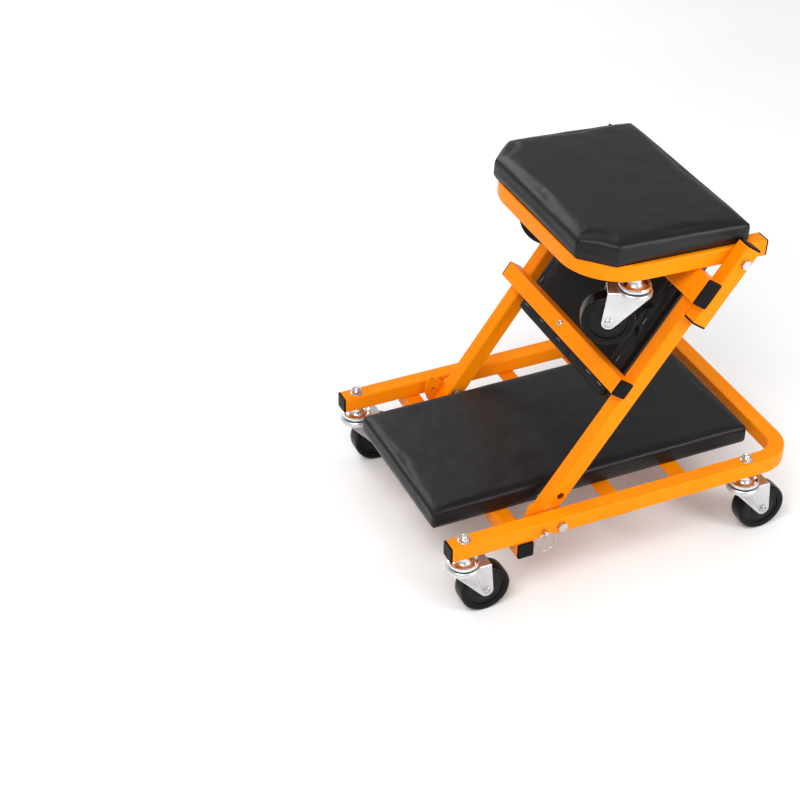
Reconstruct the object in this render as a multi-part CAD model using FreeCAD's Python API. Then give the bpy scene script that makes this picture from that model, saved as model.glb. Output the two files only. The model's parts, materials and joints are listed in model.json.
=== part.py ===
import FreeCAD, Part
import math
import os
from FreeCAD import Placement, Rotation, Vector

# Folding mechanics creeper, drawn in its seat position, in millimetres.
# +X points to the closed end of the base, +Y to the left, +Z up.
# The origin is on the floor, midway between the base's ends and sides.
# Right is the -Y side; the left side is its mirror image in the XZ plane.

# ---- square tube stock ----
TUBE = 25.0
TUBE_WALL = 1.5
TUBE_CORNER = 3.0
CAP_FLANGE = 3.0
CAP_PLUG = 10.0
PLUG_GAP = 0.2

# ---- base frame ----
OPEN_END_X = -280.5
CLOSED_END_X = 282.5
HALF_WIDTH = 204.0
BASE_BEND_RADIUS = 42.5
STOP_BAR_X = -168.0
BASE_SLAT_XS = (-6.5, 109.0)
SLAT_WIDTH = 25.0
SLAT_THICKNESS = 3.0
SLAT_END_INSET = 4.0

# ---- casters ----
WHEEL_RADIUS = 38.0
WHEEL_WIDTH = 24.0
TREAD_ROUND = 4.0
CASTER_HEIGHT = 103.0
CASTER_TRAIL = 31.0
FORK_INNER_HALF = 14.0
FORK_SHEET = 2.2
FORK_TOP = -18.0
FORK_COLLAR_RADIUS = 22.5
FORK_LIP_RADIUS = 24.5
FORK_LIP_DROP = 6.0
FORK_NOSE_X = 36.5
FORK_HEEL_X = -18.0
FORK_EYE_RADIUS = 10.0
RACE_RADIUS = 21.5
RACE_BOSS_RADIUS = 8.0
STEM_RADIUS = 5.0
AXLE_RADIUS = 4.0
RUNNING_GAP = 0.05
MID_CASTER_X = -258.0
REAR_CASTER_X = 199.5
SEAT_RIGHT_HEADING = 154.0
SEAT_LEFT_HEADING = -51.0

# ---- link frame (two arms, two crossbars, two hinge sleeves) ----
PIVOT_X = -111.5
PIVOT_RAISE = 0.3
LINK_ANGLE = 54.15
ARM_OUTER_Y = 168.0
ARM_TAIL = 62.0
ARM_END = 380.0
LOWER_BAR_S = 207.5
LOWER_SCREW_S = 210.7
UPPER_BAR_S = 384.6
UPPER_BAR_WIDTH = 40.0
SLEEVE_START = 341.8
SLEEVE_END = 466.6
HINGE_S = 444.8

# ---- lock ----
LOCK_PIN_OFFSET = 28.0
LOCK_PIN_RADIUS = 3.5
LOCK_PIN_TIP_GAP = 0.5
LOCK_PIN_OUTSIDE = 10.5
LOCK_PIN_COLLAR_RADIUS = 7.0
LOCK_PIN_COLLAR_THICKNESS = 2.0
LOCK_PIN_COLLAR_GAP = 6.5
ARM_HOLE_RADIUS = 5.6
ARM_HOLE_SHIFT_S = -1.7
ARM_HOLE_SHIFT_N = -1.0
SPRING_RADIUS = 5.2
SPRING_WIRE = 0.6
SPRING_TURNS = 6
LOCK_PLATE_RADIUS = 40.0
LOCK_PLATE_THICKNESS = 4.0
LOCK_PLATE_FROM = 88.0
LOCK_PLATE_TO = 205.0
RING_RADIUS = 15.0
RING_WIRE = 0.9
RING_HOLE_RADIUS = 1.4
RING_OUTSIDE = 7.4

# ---- seat frame ----
SEAT_OUTER_Y = 167.0
SEAT_REACH = 224.0
SEAT_TAIL = 50.0
SEAT_BEND_RADIUS = 71.5
SEAT_REST_GAP = 0.2
SEAT_STEM_A = 144.5
SEAT_SLAT_AS = (40.0, 124.0)

# ---- pads ----
BOARD = 9.0
PAD_HALF_WIDTH = 127.5
PAD_FOAM = 23.0
PAD_EDGE_ROUND = 7.0
BOARD_INSET = 3.0
BASE_PAD_START = -276.5
BASE_PAD_END = 242.5
LINK_PAD_START = 172.0
LINK_PAD_END = 419.0
SEAT_PAD_HALF_WIDTH = 163.5
SEAT_PAD_TAIL = 24.0
SEAT_PAD_CHAMFER = 41.0

# ---- fasteners ----
BOLT_RADIUS = 4.0
BOLT_HEAD_ACROSS = 13.0
BOLT_HEAD = 5.5
NUT_HEIGHT = 6.5
WASHER_RADIUS = 8.5
WASHER_THICKNESS = 1.2
SCREW_RADIUS = 2.2
SCREW_HEAD_RADIUS = 4.6
SCREW_HEAD = 2.4
SCREW_BITE = 6.0
STAPLE_WIDTH = 10.0
STAPLE_WIRE = 0.9
STAPLE_LEG = 5.0
STAPLE_EDGE_INSET = 13.0
END_STAPLE_YS = (110.0, 63.0, 9.0, -81.0, -113.0)
SIDE_STAPLE_SS = (230.0, 295.0, 360.0)

# ---- derived levels and directions ----
RAIL_BOTTOM = CASTER_HEIGHT
RAIL_TOP = RAIL_BOTTOM + TUBE
RAIL_CENTRE_Y = -HALF_WIDTH + TUBE / 2
ARM_CENTRE_Y = -ARM_OUTER_Y + TUBE / 2
SLEEVE_CENTRE_Y = -ARM_OUTER_Y - TUBE / 2
SEAT_CENTRE_Y = -SEAT_OUTER_Y + TUBE / 2
PIVOT_Z = RAIL_BOTTOM + TUBE / 2 + PIVOT_RAISE
AXLE_DROP = CASTER_HEIGHT - WHEEL_RADIUS
BAR_N = TUBE

X_AXIS = Vector(1, 0, 0)
Y_AXIS = Vector(0, 1, 0)
Z_AXIS = Vector(0, 0, 1)


def seat_tilt_deg():
    """Fall of the seat towards its hinge when its rails lie on the upper crossbar."""
    corner_s = UPPER_BAR_S + UPPER_BAR_WIDTH / 2 - HINGE_S
    corner_n = BAR_N + TUBE / 2
    corner_angle = math.degrees(math.atan2(corner_n, corner_s))
    reach = math.hypot(corner_s, corner_n)
    tangent = math.degrees(math.asin((TUBE / 2 + SEAT_REST_GAP) / reach))
    return 180.0 - (LINK_ANGLE + corner_angle - tangent)


LINK_PLACE = Placement(Vector(PIVOT_X, 0, PIVOT_Z), Rotation(Y_AXIS, -LINK_ANGLE))
HINGE_POINT = LINK_PLACE.multVec(Vector(HINGE_S, 0, 0))
SEAT_PLACE = Placement(HINGE_POINT, Rotation(Y_AXIS, seat_tilt_deg()))


# ---- helpers ----
def export(name, shapes):
    """Write one node; several shapes become one group of separate solids."""
    shape = shapes[0] if len(shapes) == 1 else Part.makeCompound(shapes)
    shape.exportStep("parts/" + name + ".step")


def placed(shape, placement):
    """A copy of the shape carried by the placement."""
    copy = shape.copy()
    copy.Placement = placement.multiply(copy.Placement)
    return copy


def moved(shape, x, y, z):
    """A copy of the shape shifted by x, y, z."""
    return placed(shape, Placement(Vector(x, y, z), Rotation()))


def mirrored(shape):
    """The left-hand twin of a right-hand shape."""
    return shape.mirror(Vector(0, 0, 0), Y_AXIS)


def both_sides(shape):
    """The right-hand shape and its left-hand twin."""
    return [shape, mirrored(shape)]


def block(x_range, y_range, z_range):
    """A plain block between pairs of limits."""
    size = [high - low for low, high in (x_range, y_range, z_range)]
    return Part.makeBox(size[0], size[1], size[2], Vector(x_range[0], y_range[0], z_range[0]))


def rod(radius, length, start, direction):
    """A round bar from a start point along a direction."""
    return Part.makeCylinder(radius, length, start, direction)


def rounded_rectangle(width, height, radius):
    """A closed wire in the YZ plane, centred on the X axis."""
    y = width / 2
    z = height / 2
    diagonal = radius * (1 - math.sqrt(0.5))
    corners = [(y, z, 1, 1), (-y, z, -1, 1), (-y, -z, -1, -1), (y, -z, 1, -1)]
    edges = []
    ends = []
    for cy, cz, sy, sz in corners:
        along_y = Vector(0, cy - sy * radius, cz)
        along_z = Vector(0, cy, cz - sz * radius)
        middle = Vector(0, cy - sy * diagonal, cz - sz * diagonal)
        first, last = (along_z, along_y) if sy * sz > 0 else (along_y, along_z)
        edges.append(Part.Arc(first, middle, last).toShape())
        ends.append((first, last))
    for index in range(4):
        start = ends[index][1]
        stop = ends[(index + 1) % 4][0]
        edges.append(Part.LineSegment(start, stop).toShape())
    return Part.Wire(Part.__sortEdges__(edges))


def tube_profiles(width, height):
    """Outer and inner outlines of the tube stock."""
    outer = rounded_rectangle(width, height, TUBE_CORNER)
    inner_width = width - 2 * TUBE_WALL
    inner_height = height - 2 * TUBE_WALL
    inner = rounded_rectangle(inner_width, inner_height, TUBE_CORNER - TUBE_WALL)
    return outer, inner


def straight_tube(length, width=TUBE, height=TUBE):
    """An open tube from the origin along +X."""
    outer, inner = tube_profiles(width, height)
    run = Vector(length, 0, 0)
    return Part.Face(outer).extrude(run).cut(Part.Face(inner).extrude(run))


def cross_tube(half_length, width=TUBE, height=TUBE):
    """An open tube along Y, centred on the origin; width is along X."""
    tube = moved(straight_tube(2 * half_length, width, height), -half_length, 0, 0)
    return placed(tube, Placement(Vector(), Rotation(Z_AXIS, 90)))


def end_cap(width=TUBE, height=TUBE):
    """A plug with a thin flange; the flange's outer face looks along +X."""
    flange = Part.Face(rounded_rectangle(width, height, TUBE_CORNER))
    flange = flange.extrude(Vector(CAP_FLANGE, 0, 0))
    side = CAP_FLANGE * 0.45
    front = [edge for edge in flange.Edges if abs(edge.BoundBox.XMin - CAP_FLANGE) < 1e-6]
    flange = flange.makeFillet(side, front)
    inner_width = width - 2 * (TUBE_WALL + PLUG_GAP)
    inner_height = height - 2 * (TUBE_WALL + PLUG_GAP)
    plug = Part.Face(rounded_rectangle(inner_width, inner_height, TUBE_WALL))
    plug = plug.extrude(Vector(-CAP_PLUG, 0, 0))
    return flange.fuse(plug)


def bent_tube(start_x, end_x, centre_y, bend_radius, centre_z):
    """A U of tube: two rails along X joined across end_x by a bent crosspiece.

    end_x is the outer face of the crosspiece; centre_y is the right rail's centre (negative).
    """
    sign = 1.0 if end_x > start_x else -1.0
    cross_x = end_x - sign * TUBE / 2
    bend_x = cross_x - sign * bend_radius
    inset = bend_radius * (1 - math.sqrt(0.5))

    def point(x, y):
        return Vector(x, y, centre_z)

    def corner(side):
        rail = point(bend_x, side * centre_y)
        middle = point(cross_x - sign * inset, side * (centre_y + inset))
        cross = point(cross_x, side * (centre_y + bend_radius))
        return rail, middle, cross

    right = corner(1)
    left = corner(-1)
    edges = [
        Part.LineSegment(point(start_x, centre_y), right[0]).toShape(),
        Part.Arc(right[0], right[1], right[2]).toShape(),
        Part.LineSegment(right[2], left[2]).toShape(),
        Part.Arc(left[2], left[1], left[0]).toShape(),
        Part.LineSegment(left[0], point(start_x, -centre_y)).toShape(),
    ]
    path = Part.Wire(edges)
    shells = []
    for profile in tube_profiles(TUBE, TUBE):
        profile.translate(point(start_x, centre_y))
        shells.append(path.makePipeShell([profile], True, False))
    return shells[0].cut(shells[1])


def hexagon(across, height, start, direction):
    """A hexagonal prism; one corner points along the prism's own side axis."""
    radius = across / math.sqrt(3)
    corners = []
    for index in range(7):
        angle = math.radians(60 * index)
        corners.append(Vector(radius * math.cos(angle), radius * math.sin(angle), 0))
    prism = Part.Face(Part.makePolygon(corners)).extrude(Vector(0, 0, height))
    dome = Part.makeCone(radius * 1.12, radius * 0.92, height * 1.3)
    dome.translate(Vector(0, 0, -height * 0.25))
    turn = Rotation(Z_AXIS, direction)
    return placed(prism.common(dome), Placement(start, turn))


def bolt(start, direction, shank_length):
    """A hex bolt whose head sits outside start and whose shank runs along direction."""
    head = hexagon(BOLT_HEAD_ACROSS, BOLT_HEAD, start, direction * -1)
    shank = rod(BOLT_RADIUS, shank_length, start, direction)
    return head.fuse(shank)


def flange_nut(start, direction):
    """A hex nut on a round flange, bored for the bolt."""
    flange = rod(WASHER_RADIUS, WASHER_THICKNESS, start, direction)
    nut = hexagon(BOLT_HEAD_ACROSS, NUT_HEIGHT, start, direction)
    bore = rod(BOLT_RADIUS, NUT_HEIGHT, start, direction)
    return flange.fuse(nut).cut(bore)


def wood_screw(start, direction, length):
    """A pan-head screw; start is the face its head sits on."""
    head = rod(SCREW_HEAD_RADIUS, SCREW_HEAD, start, direction * -1)
    rim = [edge for edge in head.Edges if edge.BoundBox.DiagonalLength > SCREW_HEAD * 2]
    far = max(rim, key=lambda edge: (edge.CenterOfMass - start).Length)
    head = head.makeFillet(SCREW_HEAD * 0.6, [far])
    return head.fuse(rod(SCREW_RADIUS, length, start, direction))


def pad_outline(x_low, x_high, half_width, chamfer):
    """A pad's plan; the corners at x_low may be cut off."""
    points = [
        Vector(x_high, -half_width, 0),
        Vector(x_high, half_width, 0),
        Vector(x_low + chamfer, half_width, 0),
        Vector(x_low, half_width - chamfer, 0),
        Vector(x_low, -half_width + chamfer, 0),
        Vector(x_low + chamfer, -half_width, 0),
    ]
    if chamfer == 0:
        points = [points[0], points[1], points[2], points[5]]
    return Part.Face(Part.makePolygon(points + [points[0]]))


def cushion(x_low, x_high, half_width, chamfer=0.0):
    """Foam and cover above a board, from z = BOARD upwards."""
    solid = pad_outline(x_low, x_high, half_width, chamfer).extrude(Vector(0, 0, PAD_FOAM))
    top = [edge for edge in solid.Edges if edge.BoundBox.ZMin > PAD_FOAM - 0.1]
    solid = solid.makeFillet(PAD_EDGE_ROUND, top)
    return moved(solid, 0, 0, BOARD)


def board(x_low, x_high, half_width, chamfer=0.0):
    """A plywood board, a little smaller than the cushion that covers it."""
    face = pad_outline(
        x_low + BOARD_INSET, x_high - BOARD_INSET, half_width - BOARD_INSET, chamfer
    )
    return face.extrude(Vector(0, 0, BOARD))


# ---- caster pieces: stem axis on Z, mounting face at z = 0, wheel trailing to +X ----
def caster_race(stem_top):
    """The part of a caster that is fixed to the frame: stem, shoulder and dished race."""
    profile = [
        (0, stem_top), (STEM_RADIUS, stem_top), (STEM_RADIUS, -3), (9, -4), (9, -9),
        (11, -12), (18, -9), (RACE_RADIUS, -9), (RACE_RADIUS, FORK_TOP + 1),
        (RACE_BOSS_RADIUS, FORK_TOP + 1), (RACE_BOSS_RADIUS, FORK_TOP - FORK_SHEET - 0.4),
        (11, FORK_TOP - FORK_SHEET - 0.4), (9.5, FORK_TOP - FORK_SHEET - 2.4),
        (0, FORK_TOP - FORK_SHEET - 2.4),
    ]
    points = [Vector(radius, 0, z) for radius, z in profile]
    face = Part.Face(Part.makePolygon(points + [points[0]]))
    return face.revolve(Vector(0, 0, 0), Z_AXIS, 360).fuse(
        hexagon(15.0, 4.0, Vector(0, 0, 0), Z_AXIS * -1)
    )


def fork_leg():
    """One cheek of the fork, flat in XZ: edges from its nose and heel run tangent to its round eye."""
    eye = Vector(CASTER_TRAIL, 0, -AXLE_DROP)
    top = FORK_TOP - FORK_SHEET / 2
    nose = Vector(FORK_NOSE_X, 0, top)
    heel_top = Vector(FORK_HEEL_X, 0, top)
    heel = Vector(FORK_HEEL_X, 0, FORK_TOP - FORK_LIP_DROP - 1.0)
    front = eye_tangent(nose, eye, -1)
    back = eye_tangent(heel, eye, 1)
    bottom = Vector(eye.x, 0, eye.z - FORK_EYE_RADIUS)
    edges = [
        Part.LineSegment(heel_top, nose).toShape(),
        Part.LineSegment(nose, front).toShape(),
        Part.Arc(front, bottom, back).toShape(),
        Part.LineSegment(back, heel).toShape(),
        Part.LineSegment(heel, heel_top).toShape(),
    ]
    cheek = Part.Face(Part.Wire(edges)).extrude(Vector(0, FORK_SHEET, 0))
    hole = rod(AXLE_RADIUS, FORK_SHEET, eye, Y_AXIS)
    return cheek.cut(hole)


def eye_tangent(outside, eye, turn):
    """Where a straight edge from a point outside touches the round eye, on the side turn names."""
    away = outside - eye
    opening = math.acos(FORK_EYE_RADIUS / away.Length)
    angle = math.atan2(away.z, away.x) + turn * opening
    return eye + Vector(math.cos(angle), 0, math.sin(angle)) * FORK_EYE_RADIUS


def caster_fork():
    """The swivelling fork: bored top plate, round collar and two cheeks."""
    outer_half = FORK_INNER_HALF + FORK_SHEET
    plate_low = FORK_TOP - FORK_SHEET
    plate = block((0, FORK_NOSE_X), (-outer_half, outer_half), (plate_low, FORK_TOP))
    collar = Part.makeCone(
        FORK_LIP_RADIUS, FORK_COLLAR_RADIUS, FORK_LIP_DROP, Vector(0, 0, FORK_TOP - FORK_LIP_DROP)
    )
    hollow = Part.makeCone(
        FORK_LIP_RADIUS - FORK_SHEET, FORK_COLLAR_RADIUS - FORK_SHEET,
        FORK_LIP_DROP - FORK_SHEET, Vector(0, 0, FORK_TOP - FORK_LIP_DROP),
    )
    bore = rod(RACE_BOSS_RADIUS + RUNNING_GAP, CASTER_HEIGHT, Vector(0, 0, -CASTER_HEIGHT), Z_AXIS)
    leg = fork_leg()
    legs = [moved(leg, 0, -outer_half, 0), moved(leg, 0, FORK_INNER_HALF, 0)]
    round_limit = rod(FORK_COLLAR_RADIUS, CASTER_HEIGHT, Vector(0, 0, -CASTER_HEIGHT), Z_AXIS)
    nose_limit = block((0, FORK_NOSE_X + 1), (-outer_half, outer_half), (-CASTER_HEIGHT, 0))
    cheeks = legs[0].fuse(legs[1]).common(round_limit.fuse(nose_limit))
    return collar.cut(hollow).fuse(plate).fuse(cheeks).cut(bore)


def caster_wheel():
    """A one-piece moulded wheel with a dished face and a bored hub."""
    half = WHEEL_WIDTH / 2
    hub_half = FORK_INNER_HALF - 0.4
    rim = WHEEL_RADIUS - TREAD_ROUND
    bore = AXLE_RADIUS + RUNNING_GAP

    def side(sign):
        return [
            (bore, hub_half), (8, hub_half), (9.5, half - 1.5), (26, half - 2.5),
            (28, half), (rim, half),
        ] if sign > 0 else [
            (rim, -half), (28, -half), (26, -half + 2.5), (9.5, -half + 1.5),
            (8, -hub_half), (bore, -hub_half),
        ]

    upper = [Vector(radius, y, 0) for radius, y in side(1)]
    lower = [Vector(radius, y, 0) for radius, y in side(-1)]
    bulge = TREAD_ROUND * math.sqrt(0.5)
    shoulder = half - TREAD_ROUND
    edges = [Part.LineSegment(a, b).toShape() for a, b in zip(upper, upper[1:])]
    edges.append(Part.Arc(
        upper[-1], Vector(rim + bulge, shoulder + bulge, 0), Vector(WHEEL_RADIUS, shoulder, 0)
    ).toShape())
    edges.append(Part.LineSegment(
        Vector(WHEEL_RADIUS, shoulder, 0), Vector(WHEEL_RADIUS, -shoulder, 0)
    ).toShape())
    edges.append(Part.Arc(
        Vector(WHEEL_RADIUS, -shoulder, 0), Vector(rim + bulge, -shoulder - bulge, 0), lower[0]
    ).toShape())
    edges += [Part.LineSegment(a, b).toShape() for a, b in zip(lower, lower[1:])]
    edges.append(Part.LineSegment(lower[-1], upper[0]).toShape())
    wheel = Part.Face(Part.Wire(edges)).revolve(Vector(0, 0, 0), Y_AXIS, 360)
    return moved(wheel, CASTER_TRAIL, 0, -AXLE_DROP)


def caster_axle():
    """The wheel bolt with a round socket head and its nut."""
    outer_half = FORK_INNER_HALF + FORK_SHEET
    head_height = 2.6
    shank = rod(
        AXLE_RADIUS, 2 * outer_half + 5.5, Vector(CASTER_TRAIL, -outer_half, -AXLE_DROP), Y_AXIS
    )
    head = rod(6.0, head_height, Vector(CASTER_TRAIL, -outer_half - head_height, -AXLE_DROP), Y_AXIS)
    front = [edge for edge in head.Edges if edge.BoundBox.YMax < -outer_half - head_height + 0.1]
    head = head.makeFillet(1.1, front)
    socket = hexagon(
        5.0, 1.6, Vector(CASTER_TRAIL, -outer_half - head_height - 0.1, -AXLE_DROP), Y_AXIS
    )
    nut = hexagon(11.0, 4.5, Vector(CASTER_TRAIL, outer_half, -AXLE_DROP), Y_AXIS)
    return shank.fuse(head).cut(socket).fuse(nut)


def make_casters():
    """Six casters: fixed races and nuts per frame, and a fork, axle and wheel each."""
    through = TUBE + WASHER_THICKNESS + NUT_HEIGHT + 1.5
    base_spots = {"mid": MID_CASTER_X, "rear": REAR_CASTER_X}
    races = []
    nuts = []
    nut = caster_nut()
    for spot, x in base_spots.items():
        place = Placement(Vector(x, RAIL_CENTRE_Y, RAIL_BOTTOM), Rotation())
        races += both_sides(placed(caster_race(through), place))
        nuts += both_sides(placed(moved(nut, 0, 0, TUBE), place))
        make_running_gear(spot, place, place)
    export("base_caster_races", races)
    export("base_caster_nuts", nuts)

    stem_in_tube = TUBE_WALL + 8.0
    seat_mount = Vector(-SEAT_STEM_A, SEAT_CENTRE_Y, -TUBE / 2)
    place = SEAT_PLACE.multiply(Placement(seat_mount, Rotation()))
    inner_nut = hexagon(15.0, 6.0, Vector(0, 0, TUBE_WALL), Z_AXIS)
    inner_nut = inner_nut.cut(rod(STEM_RADIUS, 6.0, Vector(0, 0, TUBE_WALL), Z_AXIS))
    export("seat_caster_races", both_sides(placed(caster_race(stem_in_tube), place)))
    export("seat_caster_nuts", both_sides(placed(inner_nut, place)))
    right = place.multiply(Placement(Vector(), Rotation(Z_AXIS, SEAT_RIGHT_HEADING)))
    left_twin = place.multiply(Placement(Vector(), Rotation(Z_AXIS, -SEAT_LEFT_HEADING)))
    make_running_gear("seat", right, left_twin)


def caster_nut():
    """A domed flange nut on top of a rail, with the stem's end showing in it."""
    flange = rod(9.5, WASHER_THICKNESS, Vector(0, 0, 0), Z_AXIS)
    nut = hexagon(14.0, NUT_HEIGHT, Vector(0, 0, 0), Z_AXIS)
    return flange.fuse(nut).cut(rod(STEM_RADIUS, NUT_HEIGHT, Vector(0, 0, 0), Z_AXIS))


def make_running_gear(spot, right, left_twin):
    """Fork, axle and wheel per side, one node each; left_twin is the left caster's mirror image."""
    pieces = {"fork": caster_fork(), "axle": caster_axle(), "wheel": caster_wheel()}
    for kind, piece in pieces.items():
        if spot == "seat":
            piece = mirrored(piece)
        export(kind + "_" + spot + "_right", [placed(piece, right)])
        export(kind + "_" + spot + "_left", [mirrored(placed(piece, left_twin))])


# ---- base ----
def make_base():
    """The U of tube on the floor side, its bars, slats, caps and pad."""
    frame = bent_tube(
        OPEN_END_X, CLOSED_END_X, RAIL_CENTRE_Y, BASE_BEND_RADIUS, RAIL_BOTTOM + TUBE / 2
    )
    for x in (MID_CASTER_X, REAR_CASTER_X):
        hole = rod(STEM_RADIUS + 0.2, TUBE * 3, Vector(x, RAIL_CENTRE_Y, RAIL_BOTTOM - TUBE), Z_AXIS)
        frame = frame.cut(hole).cut(mirrored(hole))
    pivot_hole = rod(BOLT_RADIUS, 4 * TUBE, Vector(PIVOT_X, -HALF_WIDTH - TUBE, PIVOT_Z), Y_AXIS)
    pin_start = Vector(PIVOT_X - LOCK_PIN_OFFSET, -HALF_WIDTH - TUBE, PIVOT_Z)
    pin_hole = rod(LOCK_PIN_RADIUS + RUNNING_GAP, 4 * TUBE, pin_start, Y_AXIS)
    for hole in (pivot_hole, pin_hole):
        frame = frame.cut(hole).cut(mirrored(hole))
    export("base_frame", [frame])

    rail_cap = placed(end_cap(), Placement(
        Vector(OPEN_END_X, RAIL_CENTRE_Y, RAIL_BOTTOM + TUBE / 2), Rotation(Z_AXIS, 180)
    ))
    bar_z = RAIL_BOTTOM - TUBE / 2
    export("stop_crossbar", [moved(cross_tube(HALF_WIDTH), STOP_BAR_X, 0, bar_z)])
    bar_cap = placed(end_cap(), Placement(
        Vector(STOP_BAR_X, -HALF_WIDTH, bar_z), Rotation(Z_AXIS, -90)
    ))
    export("base_tube_caps", both_sides(rail_cap) + both_sides(bar_cap))

    slats = []
    screws = []
    slat_bottom = RAIL_BOTTOM - SLAT_THICKNESS
    for x in BASE_SLAT_XS:
        slats.append(block(
            (x - SLAT_WIDTH / 2, x + SLAT_WIDTH / 2),
            (-HALF_WIDTH + SLAT_END_INSET, HALF_WIDTH - SLAT_END_INSET),
            (slat_bottom, RAIL_BOTTOM),
        ))
        for y in (-80.0, 80.0):
            screw = wood_screw(Vector(x, y, slat_bottom), Z_AXIS, SLAT_THICKNESS + SCREW_BITE)
            screws.append(screw)
    for screw in screws:
        slats = [slat.cut(screw) for slat in slats]
    export("base_pad_slats", slats)
    export("base_pad_screws", screws)

    base_board = board(BASE_PAD_START, BASE_PAD_END, PAD_HALF_WIDTH)
    base_board = moved(base_board, 0, 0, RAIL_BOTTOM)
    for screw in screws:
        base_board = base_board.cut(screw)
    export("base_pad_board", [base_board])
    base_cushion = cushion(BASE_PAD_START, BASE_PAD_END, PAD_HALF_WIDTH)
    export("base_cushion", [moved(base_cushion, 0, 0, RAIL_BOTTOM)])


def make_base_pivots():
    """Pivot bolts, the bushes that space the arms off the rails, and nuts."""
    start = Vector(PIVOT_X, -HALF_WIDTH, PIVOT_Z)
    reach = HALF_WIDTH - ARM_OUTER_Y + TUBE
    export("pivot_bolts", both_sides(bolt(start, Y_AXIS, reach + NUT_HEIGHT + 2.5)))
    rail_inner_y = -HALF_WIDTH + TUBE
    bush_length = -ARM_OUTER_Y - LOCK_PLATE_THICKNESS - rail_inner_y - 0.3
    bush_start = Vector(PIVOT_X, rail_inner_y, PIVOT_Z)
    bush = rod(8.0, bush_length, bush_start, Y_AXIS).cut(
        rod(BOLT_RADIUS, bush_length, bush_start, Y_AXIS)
    )
    export("pivot_bushes", both_sides(bush))
    nut_start = Vector(PIVOT_X, -ARM_OUTER_Y + TUBE + 0.3, PIVOT_Z)
    export("pivot_nuts", both_sides(flange_nut(nut_start, Y_AXIS)))


def make_lock_pins():
    """Pull pins in the rails, drawn out clear of the lock plates, their springs and rings."""
    x = PIVOT_X - LOCK_PIN_OFFSET
    tip_y = -ARM_OUTER_Y - LOCK_PLATE_THICKNESS - LOCK_PIN_TIP_GAP
    outer_y = -HALF_WIDTH - LOCK_PIN_OUTSIDE
    pin = rod(LOCK_PIN_RADIUS, tip_y - outer_y, Vector(x, outer_y, PIVOT_Z), Y_AXIS)
    tip = [edge for edge in pin.Edges if edge.BoundBox.YMin > tip_y - 0.1]
    pin = pin.makeChamfer(0.8, tip)
    pin = pin.makeFillet(LOCK_PIN_RADIUS * 0.6, dome_edges(pin, outer_y))
    rail_inner_y = -HALF_WIDTH + TUBE - TUBE_WALL
    collar_y = rail_inner_y - LOCK_PIN_COLLAR_GAP - LOCK_PIN_COLLAR_THICKNESS
    collar_start = Vector(x, collar_y, PIVOT_Z)
    pin = pin.fuse(rod(LOCK_PIN_COLLAR_RADIUS, LOCK_PIN_COLLAR_THICKNESS, collar_start, Y_AXIS))
    ring_y = -HALF_WIDTH - RING_OUTSIDE
    eye_start = Vector(x - 2 * LOCK_PIN_RADIUS, ring_y, PIVOT_Z)
    pin = pin.cut(rod(RING_HOLE_RADIUS, 4 * LOCK_PIN_RADIUS, eye_start, X_AXIS))
    centre = Vector(x, ring_y, PIVOT_Z - RING_RADIUS)
    ring = Part.makeTorus(RING_RADIUS, RING_WIRE, centre, Y_AXIS)
    export("lock_pin_right", [pin])
    export("lock_pin_left", [mirrored(pin)])
    export("lock_ring_right", [ring])
    export("lock_ring_left", [mirrored(ring)])
    spring_start = -HALF_WIDTH + TUBE_WALL + SPRING_WIRE
    spring = coil_spring(collar_y - SPRING_WIRE - spring_start)
    spring = placed(spring, Placement(Vector(x, spring_start, PIVOT_Z), Rotation(X_AXIS, -90)))
    export("lock_springs", both_sides(spring))


def dome_edges(pin, outer_y):
    """The round edge at the pin's outer end."""
    return [edge for edge in pin.Edges if edge.BoundBox.YMax < outer_y + 0.1]


def coil_spring(length):
    """A compression spring standing on the origin along +Z, measured between wire centres."""
    helix = Part.makeHelix(length / SPRING_TURNS, length, SPRING_RADIUS)
    section = Part.makeCircle(SPRING_WIRE, Vector(SPRING_RADIUS, 0, 0), Y_AXIS)
    return Part.Wire(helix.Edges).makePipeShell([Part.Wire([section])], True, True)


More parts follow.
